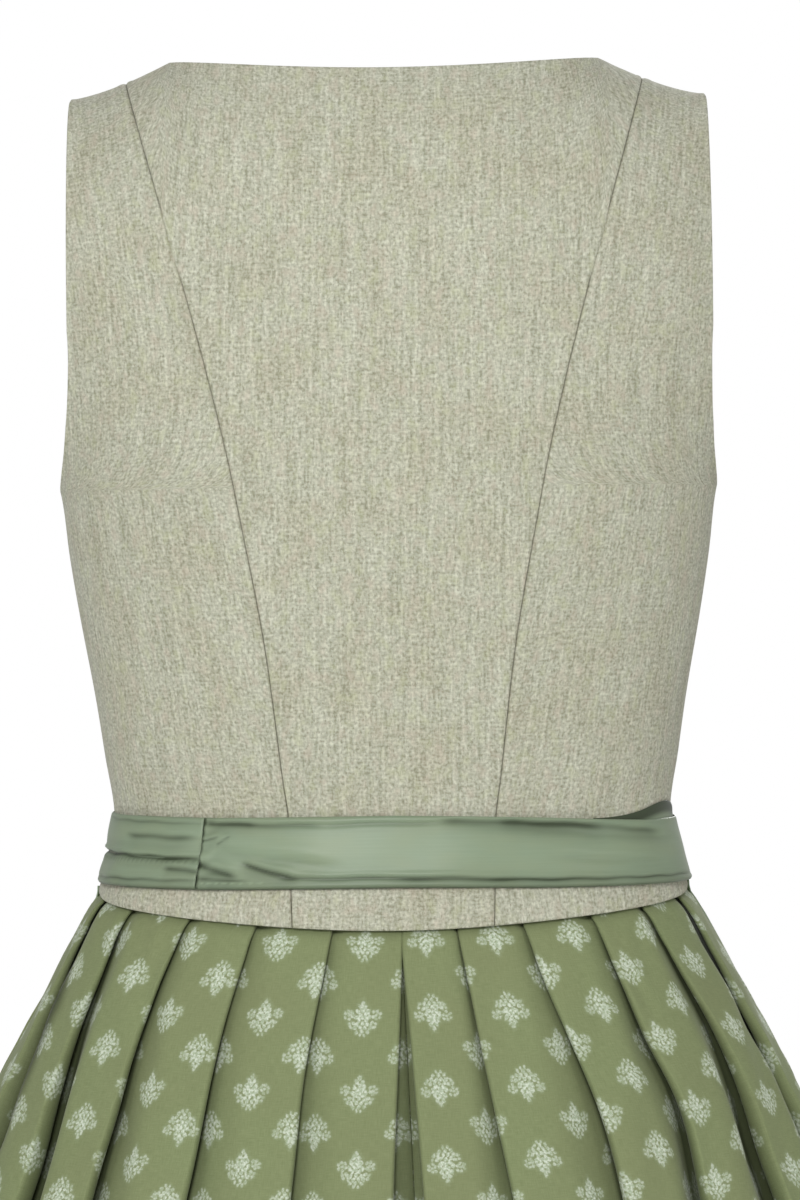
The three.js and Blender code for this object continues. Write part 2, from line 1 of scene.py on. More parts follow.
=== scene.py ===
# %% [markdown]
# # A dirndl dress that stands open, as if it were worn
#
# The frame that is loaded here holds the plain construction of the dress: the bodice panels, the
# pleated gores of the skirt, the apron with its band, ties and bow, and the buttons. Each of
# those solids has the right size and place, and this script gives each one its cloth.
#
# Cloth is not carved, it is laid over a form. So the pieces are made as thin shells on the same
# form that the solids have: first the form as a few tables, then a fine grid of points on it,
# then creases, seams and pleats as small moves along the surface's own directions. A simulation
# was the other choice. It drapes well but forgets the cut, and a pressed pleat or a fitted
# panel is all cut, so the shapes are laid one by one.

import math

import bpy
import numpy as np
from mathutils import Euler, Matrix, Vector


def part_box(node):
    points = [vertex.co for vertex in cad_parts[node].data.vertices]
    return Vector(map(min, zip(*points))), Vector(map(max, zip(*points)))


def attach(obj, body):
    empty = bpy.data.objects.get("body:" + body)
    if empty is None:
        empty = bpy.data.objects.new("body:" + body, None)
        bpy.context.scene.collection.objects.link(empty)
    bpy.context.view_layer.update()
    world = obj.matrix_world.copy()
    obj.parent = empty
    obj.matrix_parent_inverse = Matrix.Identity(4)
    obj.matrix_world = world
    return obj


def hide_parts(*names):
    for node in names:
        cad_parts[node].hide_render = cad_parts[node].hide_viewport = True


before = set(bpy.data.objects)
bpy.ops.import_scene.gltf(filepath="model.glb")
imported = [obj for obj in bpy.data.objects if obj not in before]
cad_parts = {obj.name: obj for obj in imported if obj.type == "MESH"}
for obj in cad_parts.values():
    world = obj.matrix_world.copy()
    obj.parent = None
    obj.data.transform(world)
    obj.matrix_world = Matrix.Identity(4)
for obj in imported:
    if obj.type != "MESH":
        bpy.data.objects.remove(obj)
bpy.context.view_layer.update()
MM = 0.001
for other in bpy.context.selected_objects:
    other.select_set(False)

# %% [markdown]
# ## Sizes
#
# All lengths in the tables are millimetres, because that is how a pattern is drafted. The heights
# of the hem, the ties and the apron's hem are read from the frame, so that they can't drift
# from it.

# %% Sizes and tables
HEM_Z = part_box("skirt_gore_left_1")[0][2] / MM
BAND_Z = [corner[2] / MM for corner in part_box("apron_tie_left")]
APRON_HEM_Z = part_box("apron_panel")[0][2] / MM
NECK_X, SHOULDER_X, SHOULDER_DROP, NECK_RISE = 104.5, 154.0, 17.0, 30.0
SPRING_Z, UNDERARM_Z, ARMHOLE_ROUND = -110.0, -205.0, 75.0
SEAM_SIDE_Z, SEAM_DIP_BACK, SEAM_DIP_FRONT = -397.0, 15.0, 12.0
SEAM_GAP = 0.3
NECK_DIP = 8.0
LAP_X = 12.0
FRONT_NECK = {"centre": -152.0, "corner": -118.0}
WALL = {"bodice": 1.5, "skirt": 0.7, "apron": 0.6, "ribbon": 0.8}
PLEATS, PLEATS_PER_GORE = 12, 3
CAD_SKIRT_WALL = 1.2

TORSO = np.array([  # height, half width, back, front, side line
    (-425, 145, 90, -111, -9),
    (-397, 141.6, 86, -107, -9),
    (-380, 136.8, 82, -104, -10),
    (-360, 133.5, 79, -103, -11),
    (-332, 137.6, 81, -109, -11),
    (-303, 142, 85, -119, -11),
    (-265, 148.8, 91, -133, -10),
    (-236, 153.4, 95, -138, -9),
    (-207, 157, 98, -137, -8),
    (-190, 162, 99.5, -133, -7),
    (-172, 169, 100.5, -127, -6),
    (-150, 176.5, 101, -119, -5),
    (-130, 179.5, 101.5, -112, -5),
    (-110, 180, 101.5, -107, -5),
], float)
TORSO_POWER = {"back": 2.3, "front": 2.5}

SKIRT = np.array([  # height, half width, back, front, side line, fold, step, opening, turn
    (HEM_Z, 354, 298, -306, -3, 14, 8, 18, -9),
    (-850, 318, 249, -259, -4, 17, 6.4, 16, -9),
    (-680, 268, 192, -205, -6, 20, 4.6, 13, -9),
    (-546, 217, 145, -162, -8, 22.5, 3.2, 9, -9),
    (-460, 175.5, 112, -132, -9, 23.5, 2.5, 4.5, -6),
    (-410, 148.5, 92.5, -113, -9, 24, 2.1, 1.3, -4),
    (-400, 141.9, 87, -108, -9, 24, 2, 0.9, -4),
], float)
SKIRT_TOP_Z, SKIRT_POWER = -400.0, 2.15

BACK_SEAM = np.array([
    (-425, 46), (-361, 48.5), (-342, 51), (-277, 59), (-219, 69.5),
    (-186, 76), (-144, 86), (-97, 98.5), (-53, 111), (-8, 124),
], float)
FRONT_SEAM = np.array([
    (-425, 48), (-360, 51), (-332, 55), (-303, 63), (-265, 76), (-236, 85), (-207, 91),
    (-150, 92), (-118, 91), (-80, 96), (-40, 101.5), (0, NECK_X),
], float)


def read(table, column, z):
    """One column of a table at the heights z, along a smooth curve through its rows."""
    x, y = table[:, 0], table[:, column]
    slope = np.empty_like(y)
    slope[1:-1] = (y[2:] - y[:-2]) / (x[2:] - x[:-2])
    slope[0], slope[-1] = (y[1] - y[0]) / (x[1] - x[0]), (y[-1] - y[-2]) / (x[-1] - x[-2])
    z = np.asarray(z, float)
    i = np.clip(np.searchsorted(x, z), 1, len(x) - 1)
    span = x[i] - x[i - 1]
    t = np.clip((z - x[i - 1]) / span, 0, 1)
    start = (2 * t**3 - 3 * t**2 + 1) * y[i - 1] + (t**3 - 2 * t**2 + t) * span * slope[i - 1]
    return start + (3 * t**2 - 2 * t**3) * y[i] + (t**3 - t**2) * span * slope[i]


def smooth(x, low=0.0, high=1.0):
    t = np.clip((np.asarray(x, float) - low) / (high - low), 0, 1)
    return t * t * (3 - 2 * t)


def bell(x, centre=0.0, width=1.0):
    return np.exp(-(((np.asarray(x, float) - centre) / width) ** 2))


def waves(x, y, seed, size, count=7):
    """A soft random relief of about -1 to 1, whose hills are about `size` across."""
    rng = np.random.default_rng(seed)
    total = 0.0
    for _ in range(count):
        turn, phase = rng.uniform(0, 2 * math.pi, 2)
        k = 2 * math.pi / (size * rng.uniform(0.7, 1.8))
        total = total + np.sin(k * (x * math.cos(turn) + y * math.sin(turn)) + phase)
    return total / math.sqrt(count)


# %% [markdown]
# ## The form
#
# A level section of the torso is a superellipse: an ellipse that can be made squarer. Its back
# and its front have depths of their own. Angles run round from the centre back (0) over the
# wearer's left side (90 degrees) to the centre front (180). Above the chest the surface rolls
# over the shoulder, so there the height is given as an angle of roll instead.

# %% The torso's surface
def signed_power(value, power):
    return np.sign(value) * np.abs(value) ** power


def section_point(half, back, front, side, angle, power_back, power_front):
    c, s = np.cos(angle), np.sin(angle)
    behind = c >= 0
    depth = np.where(behind, back - side, side - front)
    exponent = 2 / np.where(behind, power_back, power_front)
    return half * signed_power(s, exponent), side + depth * signed_power(c, exponent)


def torso_section(z):
    return [read(TORSO, k, z) for k in (1, 2, 3, 4)]


def body_top(x):
    fall = -SHOULDER_DROP * (1 - np.clip((SHOULDER_X - x) / (SHOULDER_X - NECK_X), 0, None) ** 1.5)
    return np.where(x > NECK_X, fall, NECK_RISE * (1 - np.clip(x / NECK_X, 0, 1) ** 2.5))


def torso_point(angle, level):
    """Points (..., 3) in millimetres. Past SPRING_Z the level is SPRING_Z plus degrees of roll."""
    angle, level = np.broadcast_arrays(np.asarray(angle, float), np.asarray(level, float))
    z = np.minimum(level, SPRING_Z)
    x, y = section_point(*torso_section(z), angle, TORSO_POWER["back"], TORSO_POWER["front"])
    roll = np.radians(np.clip(level - SPRING_Z, 0, 90))
    seam_y = np.where(np.cos(angle) >= 0, 0.01, -0.01)
    rolled = seam_y + (y - seam_y) * np.cos(roll)
    top = SPRING_Z + (body_top(np.abs(x)) - SPRING_Z) * np.sin(roll)
    over = level > SPRING_Z
    return np.stack([x, np.where(over, rolled, y), np.where(over, top, z)], -1)


def torso_normal(angle, level):
    ahead = torso_point(angle + 0.004, level) - torso_point(angle - 0.004, level)
    up = torso_point(angle, level + 0.25) - torso_point(angle, level - 0.25)
    normal = np.cross(up, ahead)
    return normal / np.linalg.norm(normal, axis=-1, keepdims=True)


def angle_at_x(x, z, on_back):
    power = TORSO_POWER["back" if on_back else "front"]
    share = np.clip(np.abs(x) / read(TORSO, 1, z), 0, 1)
    angle = np.arcsin(share ** (power / 2)) * np.where(x < 0, -1, 1)
    return angle if on_back else math.pi - angle


def seam_z(x, y):
    share = (y + 9) / np.hypot(x, y + 9)
    return SEAM_SIDE_Z - np.where(share > 0, SEAM_DIP_BACK, SEAM_DIP_FRONT) * np.abs(share)


# %% [markdown]
# ## Grids of points become cloth
#
# Every cloth piece below ends as two grids, its outside and its inside, with the same rows and
# columns. Closing the four edges between them gives a real wall with a real cut edge, which
# catches the light as a folded edge of cloth does. The UV map is laid in metres along the cloth,
# so weave and print keep their true size wherever the cloth goes.
#
# Each piece also says, from 0 to 1, how much shade is painted into the colour of each of its
# points: in folds, seams and gaps, and on layers that lie under others. It is kept in a point
# attribute that the materials read.

# %% Cloth from two grids
def grid_normals(points):
    down = np.gradient(points, axis=0)
    across = np.gradient(points, axis=1)
    normal = np.cross(across, down)
    return normal / np.maximum(np.linalg.norm(normal, axis=-1, keepdims=True), 1e-12)


def path_lengths(points, axis):
    step = np.linalg.norm(np.diff(points, axis=axis), axis=-1)
    return np.concatenate([np.zeros_like(step.take([0], axis)), np.cumsum(step, axis)], axis)


def cloth(name, outside, inside, uv, materials, shade=0.0):
    """A shell between two grids in millimetres. The second material, if any, is its inside's.
    `shade` is how much shade is painted into each point's colour, from 0 to 1, for the materials to read."""
    rows, columns = outside.shape[:2]
    points = np.concatenate([outside.reshape(-1, 3), inside.reshape(-1, 3)]) * MM
    index = np.arange(rows * columns).reshape(rows, columns)
    back = index + rows * columns

    def quads(a, b, c, d):
        return np.stack([a.ravel(), b.ravel(), c.ravel(), d.ravel()], 1)

    front = quads(index[:-1, :-1], index[:-1, 1:], index[1:, 1:], index[1:, :-1])
    rear = quads(back[:-1, :-1], back[1:, :-1], back[1:, 1:], back[:-1, 1:])
    rim = np.concatenate([
        quads(back[:-1, 0], index[:-1, 0], index[1:, 0], back[1:, 0]),
        quads(index[:-1, -1], back[:-1, -1], back[1:, -1], index[1:, -1]),
        quads(back[0, :-1], back[0, 1:], index[0, 1:], index[0, :-1]),
        quads(index[-1, :-1], index[-1, 1:], back[-1, 1:], back[-1, :-1]),
    ])
    faces = np.concatenate([front, rear, rim])
    a, b, c, d = (points[faces[:, k]] for k in range(4))
    volume = (np.einsum("ij,ij->i", a, np.cross(b, c)) + np.einsum("ij,ij->i", a, np.cross(c, d))).sum()
    if volume < 0:
        faces = faces[:, ::-1]
    mesh = bpy.data.meshes.new(name + "_cloth")
    mesh.vertices.add(len(points))
    mesh.vertices.foreach_set("co", points.ravel())
    mesh.loops.add(faces.size)
    mesh.loops.foreach_set("vertex_index", np.ascontiguousarray(faces).ravel().astype(np.int32))
    mesh.polygons.add(len(faces))
    mesh.polygons.foreach_set("loop_start", np.arange(0, faces.size, 4, dtype=np.int32))
    mesh.polygons.foreach_set("use_smooth", np.ones(len(faces), bool))
    for material in materials:
        mesh.materials.append(material)
    if len(materials) > 1:
        which = np.zeros(len(faces), np.int32)
        which[len(front):len(front) + len(rear)] = 1
        mesh.polygons.foreach_set("material_index", which)
    layer = mesh.uv_layers.new(name="UVMap")
    flat_uv = np.concatenate([uv.reshape(-1, 2), uv.reshape(-1, 2)]) * MM
    layer.data.foreach_set("uv", flat_uv[faces.ravel()].ravel())
    mesh.update(calc_edges=True)
    mesh.validate()
    depth = np.broadcast_to(np.clip(shade, 0, 1), (rows, columns)).astype(np.float32).ravel()
    # A point attribute carries the painted shade to the materials.
    folds = mesh.attributes.new("painted_shade", "FLOAT", "POINT")
    folds.data.foreach_set("value", np.concatenate([depth, depth]))
    piece = bpy.data.objects.new(name + "_cloth", mesh)
    bpy.context.scene.collection.objects.link(piece)
    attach(piece, "root")
    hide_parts(name)
    width = float(path_lengths(outside, 1)[:, -1].max()) * MM
    length = float(path_lengths(outside, 0)[-1].max()) * MM
    return piece


# %% [markdown]
# ## Finishes
#
# A small helper keeps the node graphs short: `Graph` adds a node, sets its fields and joins it
# up in one call. All patterns read the UV map in millimetres, so 0.8 means 0.8 mm of cloth.

# %% A helper for node graphs
class Graph:
    def __init__(self, name):
        self.material = bpy.data.materials.new(name)
        self.material.use_nodes = True
        self.tree = self.material.node_tree
        self.shader = self.tree.nodes["Principled BSDF"]
        uv = self.node("ShaderNodeUVMap", uv_map="UVMap")
        scaled = self.node("ShaderNodeVectorMath", uv.outputs[0], (1000, 1000, 1000), operation="MULTIPLY")
        self.mm = scaled.outputs[0]

    def node(self, kind, *inputs, **fields):
        made = self.tree.nodes.new(kind)
        for key, value in fields.items():
            setattr(made, key, value)
        for socket, value in zip(made.inputs, inputs):
            self.join(value, socket)
        return made

    def join(self, value, socket):
        if value is None:
            return
        if isinstance(value, bpy.types.NodeSocket):
            self.tree.links.new(value, socket)
        else:
            socket.default_value = value

    def math(self, operation, a, b=0.0, clamp=False):
        return self.node("ShaderNodeMath", a, b, operation=operation, use_clamp=clamp).outputs[0]

    def stretch(self, x, y, shift=(0, 0)):
        """The cloth's millimetres, scaled so that hills of the next noise are x by y across."""
        made = self.node("ShaderNodeMapping", self.mm)
        made.inputs["Scale"].default_value = (1 / x, 1 / y, 1)
        made.inputs["Location"].default_value = (*shift, 0)
        return made.outputs[0]

    def noise(self, x, y, detail=2.0, shift=(0, 0)):
        made = self.node("ShaderNodeTexNoise", self.stretch(x, y, shift), noise_dimensions="2D")
        made.inputs["Scale"].default_value = 1.0
        made.inputs["Detail"].default_value = detail
        return made.outputs["Fac"]

    def scale(self, value, low, high, to_low=0.0, to_high=1.0):
        made = self.node("ShaderNodeMapRange", value)
        for key, number in (("From Min", low), ("From Max", high), ("To Min", to_low), ("To Max", to_high)):
            made.inputs[key].default_value = number
        return made.outputs[0]

    def mix(self, share, a, b, blend="MIX"):
        made = self.node("ShaderNodeMix", data_type="RGBA", blend_type=blend, clamp_factor=True)
        self.join(share, made.inputs[0])
        self.join(a, made.inputs[6])
        self.join(b, made.inputs[7])
        return made.outputs[2]

    def bump(self, height, strength, distance, below=None):
        made = self.node("ShaderNodeBump")
        made.inputs["Strength"].default_value = strength
        made.inputs["Distance"].default_value = distance
        self.join(height, made.inputs["Height"])
        self.join(below, made.inputs["Normal"])
        return made.outputs[0]

    def paint_fold_shade(self, colour, painted_dark, most=0.9):
        """Paints shade into the colour of cloth deep in a fold or a seam, which gets less light there than
        the renderer's few bounces give.
        """
        depth = self.node("ShaderNodeAttribute", attribute_name="painted_shade").outputs["Fac"]
        return self.mix(self.math("MULTIPLY", depth, most), colour, painted_dark)

    def finish(self, colour, roughness, normal=None, **fixed):
        self.join(colour, self.shader.inputs["Base Color"])
        self.join(roughness, self.shader.inputs["Roughness"])
        self.join(normal, self.shader.inputs["Normal"])
        for key, value in fixed.items():
            self.shader.inputs[key.replace("_", " ")].default_value = value
        return self.material


def srgb(r, g, b):
    """An sRGB colour of 0 to 255 as the linear colour that a shader wants."""
    def linear(c):
        c /= 255
        return c / 12.92 if c <= 0.04045 else ((c + 0.055) / 1.055) ** 2.4
    return (linear(r), linear(g), linear(b), 1.0)


# %% [markdown]
# ### The bodice cloth
#
# A melange of wool and linen: no two threads have quite the same colour, so warp and weft show
# as short pale and dark streaks that cross. Two noises, one drawn out upwards and one sideways,
# make those slubs, a third adds the pepper of single fibres, and a slow one the cloudiness of a
# milled cloth. The weave itself is only a bump.

# %% Bodice cloth and lining
BODICE_DARK, BODICE_PALE = (155, 156, 134), (217, 218, 200)


def bodice_cloth():
    g = Graph("melange_wool_linen")
    warp = g.noise(1.3, 6.5, 3.0)
    weft = g.noise(5.5, 1.2, 3.0, (31, 7))
    pepper = g.noise(1.5, 1.6, 3.0, (3, 51))
    stripe = g.noise(2.4, 50, 2.0, (13, 5))
    cloud = g.noise(26, 30, 2.0, (5, 5))
    streak = g.math("ADD", g.math("MULTIPLY", warp, 0.52), g.math("MULTIPLY", weft, 0.48))
    tone = g.math("ADD", g.math("MULTIPLY", streak, 0.5), g.math("MULTIPLY", pepper, 0.5))
    tone = g.math("ADD", tone, g.math("MULTIPLY", g.math("SUBTRACT", stripe, 0.5), 0.22))
    pale = g.mix(g.scale(tone, 0.34, 0.66), srgb(*BODICE_DARK), srgb(*BODICE_PALE))
    warm = g.mix(g.scale(cloud, 0.4, 0.7, 0.0, 0.3), pale, srgb(236, 226, 212), "MULTIPLY")
    rosy = g.noise(6, 9, 2.0, (41, 3))
    warm = g.mix(g.scale(rosy, 0.55, 0.75, 0.0, 0.35), warm, srgb(204, 190, 172))
    warm = g.mix(g.scale(rosy, 0.45, 0.25, 0.0, 0.35), warm, srgb(196, 200, 160))
    fleck = g.scale(g.noise(0.7, 1.9, 1.0, (77, 13)), 0.66, 0.75, 0.0, 0.45)
    colour = g.mix(fleck, warm, srgb(128, 122, 100))
    # Painted shade: in seams and towards the waist the colour is mixed towards a dark brown.
    colour = g.paint_fold_shade(colour, srgb(104, 94, 72))
    parts = g.node("ShaderNodeSeparateXYZ", g.mm)
    crossing = [g.math("SINE", g.math("MULTIPLY", parts.outputs[k], 2 * math.pi / 1.1)) for k in (0, 1)]
    weave = g.bump(g.math("MULTIPLY", *crossing), 0.15, 0.0002)
    normal = g.bump(tone, 0.5, 0.0007, weave)
    return g.finish(colour, 0.92, normal, Specular_IOR_Level=0.22, Sheen_Weight=0.15, Sheen_Roughness=0.5)


def lining_cloth():
    g = Graph("bodice_lining")
    tone = g.noise(0.5, 4.0, 2.0)
    colour = g.mix(g.scale(tone, 0.35, 0.65), srgb(168, 166, 146), srgb(190, 188, 170))
    return g.finish(colour, 0.75, g.bump(tone, 0.2, 0.0002), Specular_IOR_Level=0.35)


# %% [markdown]
# ### The skirt cloth and its print
#
# The print is a small sprig: a bud of scales over leaves with a flower at each side, repeated in
# a half drop, with every second column turned head down. It is charted as a short list
# of drops on the right of the sprig's axis, each with its place, size and turn. Folding the
# pattern's space over the axis gives the left half. The nearest drop decides the ink, and a
# little noise makes the edge bleed into the thread as a real print does.

# %% Skirt cloth
SKIRT_GREEN = (126, 137, 95), (142, 153, 110)
PRINT_REPEAT = (42.4, 36.6)  # millimetres across and down, for one sprig and its turned neighbour
SPRIG = [  # x, y, half width, half length, turn in degrees; y is up from the sprig's middle
    # the bud, a cone of scales
    (0.0, 7.3, 0.85, 1.35, 0),
    (1.2, 5.4, 0.9, 1.3, -12),
    (0.0, 3.8, 0.95, 1.3, 0),
    (2.2, 3.1, 0.95, 1.35, -16),
    (1.1, 1.7, 0.9, 1.3, -8),
    (0.0, 0.3, 0.9, 1.25, 0),
    (2.9, 0.5, 0.95, 1.3, -14),
    (1.7, -0.8, 0.9, 1.2, -10),
    # a flower beside it
    (5.0, 2.9, 0.7, 0.85, -30),
    (6.6, 3.3, 0.75, 0.8, 0),
    (8.0, 2.2, 0.7, 0.8, 0),
    (6.4, 1.5, 0.85, 0.85, 0),
    (5.0, 0.9, 0.7, 0.8, 0),
    (7.9, 0.4, 0.7, 0.75, 0),
    (6.2, -0.3, 0.7, 0.8, 0),
    # the leaves below
    (4.3, -2.3, 0.85, 1.1, -30),
    (6.1, -2.6, 0.65, 0.8, -50),
    (5.4, -4.2, 0.75, 0.95, -30),
    (3.5, -4.6, 0.8, 1.1, -15),
    (0.0, -2.6, 0.8, 1.1, 0),
    (2.3, -3.1, 0.8, 1.1, -10),
    (1.1, -4.6, 0.8, 1.1, 0),
    (2.6, -6.6, 0.7, 0.95, 0),
    (0.0, -6.5, 0.8, 1.1, 0),
    (1.0, -8.3, 0.55, 0.8, 0),
]


def sprig_ink(g, x, y):
    """How far (x, y), in millimetres from a sprig's middle, is from the nearest drop: 1 is its rim."""
    folded = g.node("ShaderNodeCombineXYZ", g.math("ABSOLUTE", x), y).outputs[0]
    nearest = None
    for px, py, half_width, half_length, turn in SPRIG:
        drop = g.node("ShaderNodeMapping", folded, vector_type="TEXTURE")
        drop.inputs["Location"].default_value = (px, py, 0)
        drop.inputs["Rotation"].default_value = (0, 0, math.radians(turn))
        drop.inputs["Scale"].default_value = (half_width, half_length, 1)
        away = g.node("ShaderNodeVectorMath", drop.outputs[0], operation="LENGTH").outputs["Value"]
        nearest = away if nearest is None else g.math("MINIMUM", nearest, away)
    return nearest


def skirt_cloth():
    g = Graph("printed_cotton")
    wide, tall = PRINT_REPEAT
    parts = g.node("ShaderNodeSeparateXYZ", g.mm)
    column = g.math("DIVIDE", parts.outputs[0], wide / 2)
    number = g.math("FLOOR", column)
    across = g.math("MULTIPLY", g.math("SUBTRACT", g.math("SUBTRACT", column, number), 0.5), wide / 2)
    odd = g.math("MODULO", g.math("ABSOLUTE", number), 2.0)
    shifted = g.math("ADD", g.math("DIVIDE", parts.outputs[1], tall), g.math("MULTIPLY", odd, 0.5))
    along = g.math("MULTIPLY", g.math("SUBTRACT", g.math("FRACT", shifted), 0.5), tall)
    turned = g.math("MULTIPLY", along, g.math("SUBTRACT", g.math("MULTIPLY", odd, 2.0), 1.0))
    wobble = g.math("MULTIPLY", g.math("SUBTRACT", g.noise(1.6, 1.6, 3.0), 0.5), 2.1)
    away = g.math("ADD", sprig_ink(g, across, turned), wobble)
    ink = g.scale(away, 1.35, 0.75)
    place = g.node("ShaderNodeCombineXYZ", across, g.math("MULTIPLY", turned, 0.7)).outputs[0]
    from_heart = g.node("ShaderNodeVectorMath", place, operation="LENGTH").outputs["Value"]
    ink = g.math("MULTIPLY", ink, g.scale(from_heart, 2.0, 7.0, 1.0, 0.58))
    halo = g.math("MULTIPLY", g.scale(away, 2.6, 1.2), 0.22)
    thread = g.noise(0.35, 5.0, 2.0)
    pick = g.noise(5.0, 0.35, 2.0, (9, 9))
    tone = g.math("ADD", g.math("MULTIPLY", thread, 0.5), g.math("MULTIPLY", pick, 0.5))
    green = g.mix(g.scale(tone, 0.3, 0.7), srgb(*SKIRT_GREEN[0]), srgb(*SKIRT_GREEN[1]))
    cloud = g.scale(g.noise(55, 70, 2.0, (4, 8)), 0.3, 0.7, 0.0, 0.25)
    green = g.mix(cloud, green, srgb(130, 132, 96))
    fibre = g.scale(g.noise(1.3, 1.3, 1.0, (8, 3)), 0.35, 0.65)
    pale = g.mix(fibre, srgb(176, 190, 160), srgb(222, 230, 214))
    colour = g.mix(halo, green, srgb(168, 182, 148))
    colour = g.mix(g.math("MULTIPLY", ink, 0.92), colour, pale)
    # Painted shade: in the pleats' gaps, on their hidden layers and under the waist seam the colour is mixed
    # towards a near black green.
    colour = g.paint_fold_shade(colour, srgb(38, 45, 20))
    normal = g.bump(tone, 0.35, 0.0003)
    normal = g.bump(ink, 0.08, 0.0003, normal)
    return g.finish(colour, 0.82, normal, Specular_IOR_Level=0.3, Sheen_Weight=0.12, Sheen_Roughness=0.4)


# %% [markdown]
# ### Satin and metal
#
# Satin floats its threads over several others, so light runs along them: a lower roughness, a
# faint streak along the ribbon and hardly any weave. The buttons are dull old silver, worn
# bright where fingers touch.

# %% Apron satin and button metal
def satin(name="apron_satin", along_u=True, base=(143, 160, 133)):
    g = Graph(name)
    streak = g.noise(34, 0.7, 3.0) if along_u else g.noise(0.7, 34, 3.0)
    cloud = g.noise(22, 12, 2.0, (3, 9))
    low = srgb(*(c - 1.5 for c in base))
    high = srgb(*(c + 1.5 for c in base))
    colour = g.mix(g.scale(streak, 0.3, 0.7), low, high)
    colour = g.mix(g.scale(cloud, 0.35, 0.65, 0.0, 0.35), colour, srgb(base[0] + 6, base[1] + 1, base[2] - 4))
    # Painted shade: in the folds and at the edges of the band and ties the colour is mixed towards a dark
    # green.
    colour = g.paint_fold_shade(colour, srgb(46, 56, 34))
    normal = g.bump(g.noise(0.4, 0.4, 2.0, (1, 1)), 0.12, 0.0002)
    return g.finish(colour, 0.42, normal, Specular_IOR_Level=0.38, Sheen_Weight=0.14, Sheen_Roughness=0.3)


def button_metal():
    material = bpy.data.materials.new("old_silver")
    material.use_nodes = True
    tree = material.node_tree
    shader = tree.nodes["Principled BSDF"]
    where = tree.nodes.new("ShaderNodeTexCoord")
    noise = tree.nodes.new("ShaderNodeTexNoise")
    noise.inputs["Scale"].default_value = 900
    noise.inputs["Detail"].default_value = 4
    tree.links.new(where.outputs["Object"], noise.inputs["Vector"])
    ramp = tree.nodes.new("ShaderNodeValToRGB")
    ramp.color_ramp.elements[0].color = srgb(112, 108, 98)
    ramp.color_ramp.elements[1].color = srgb(186, 182, 170)
    ramp.color_ramp.elements[0].position, ramp.color_ramp.elements[1].position = 0.35, 0.65
    tree.links.new(noise.outputs["Fac"], ramp.inputs["Fac"])
    tree.links.new(ramp.outputs["Color"], shader.inputs["Base Color"])
    shader.inputs["Metallic"].default_value = 1.0
    shader.inputs["Roughness"].default_value = 0.36
    bump = tree.nodes.new("ShaderNodeBump")
    bump.inputs["Strength"].default_value = 0.2
    bump.inputs["Distance"].default_value = 0.0003
    tree.links.new(noise.outputs["Fac"], bump.inputs["Height"])
    tree.links.new(bump.outputs["Normal"], shader.inputs["Normal"])
    return material


MELANGE = bodice_cloth()
LINING = lining_cloth()
PRINTED = skirt_cloth()
SATIN = satin()
METAL = button_metal()
print("finishes:", [m.name for m in (MELANGE, LINING, PRINTED, SATIN, METAL)])

# %% [markdown]
# ## The bodice
#
# Seven panels. Their shared edges are the princess seams: the cloth dips into the seam, and the
# pressed allowances behind it raise a soft ridge on both sides. Columns of points crowd towards
# each edge, since that is where the small shapes are. Free edges, at the neck and armholes, are
# turned under, so there the wall thins to a rounded fold.

# %% Panel edges
SEAM_STEPS = np.array([0, 0.3, 0.7, 1.2, 1.9, 2.8, 4.2, 6.5])  # distances from an edge


def edge_angle(table, level, on_back, gap):
    z = np.minimum(level, SPRING_Z)
    for _ in range(8):
        top = body_top(read(table, 1, z))
        rolled = SPRING_Z + (top - SPRING_Z) * np.sin(np.radians(np.clip(level - SPRING_Z, 0, 90)))
        z = np.where(level > SPRING_Z, rolled, level)
    return angle_at_x(read(table, 1, z) + gap, np.minimum(level, SPRING_Z), on_back)


ARM_INSET = {1: 3.2, -1: 0.0}  # the left armhole is eased in a little more than the right one


def armhole_angle(level, on_back, inset=0.0):
    level = np.asarray(level, float)
    scoop = inset if on_back else inset + 10.0
    straight_from = UNDERARM_Z + ARMHOLE_ROUND
    side_seam = np.full_like(level, math.pi / 2 + (-1 if on_back else 1) * 0.00002)
    rolled = np.cos(np.radians(np.clip(level - SPRING_Z, 0, 90)))
    edge = SHOULDER_X - inset - (scoop - inset) * rolled
    straight = angle_at_x(edge, np.minimum(level, SPRING_Z), on_back)
    corner = angle_at_x(SHOULDER_X - scoop, straight_from, on_back)
    reach = torso_point(corner, straight_from)[..., 1] - read(TORSO, 4, straight_from)
    _, back, front, side = torso_section(np.minimum(level, SPRING_Z))
    share = np.sqrt(np.clip(1 - ((straight_from - level) / ARMHOLE_ROUND) ** 2, 0, 1))
    y = reach * share
    depth = back - side if on_back else side - front
    power = TORSO_POWER["back" if on_back else "front"]
    curve = np.arccos(np.sign(y) * np.clip(np.abs(y) / depth, 0, 1) ** (power / 2))
    angle = np.where(level >= straight_from, straight, curve)
    return np.where(level <= UNDERARM_Z, side_seam, angle)


def bodice_levels():
    """Nominal levels from the waist seam (-400) to the shoulder seam (SPRING_Z + 90)."""
    low = np.array([-400, -399.6, -399, -398, -396.5, -394, -390, -385, -380])
    waist = np.arange(-376, UNDERARM_Z - 1, 3.6)
    arm = UNDERARM_Z + ARMHOLE_ROUND * (np.linspace(0, 1, 30) ** 1.9)
    chest = np.linspace(UNDERARM_Z + ARMHOLE_ROUND + 3, SPRING_Z, 6)
    roll = SPRING_Z + np.linspace(0, 90, 44)[1:]
    edge = SPRING_Z + np.array([89, 89.6])
    return np.unique(np.concatenate([low, waist, arm, chest, roll, edge]))


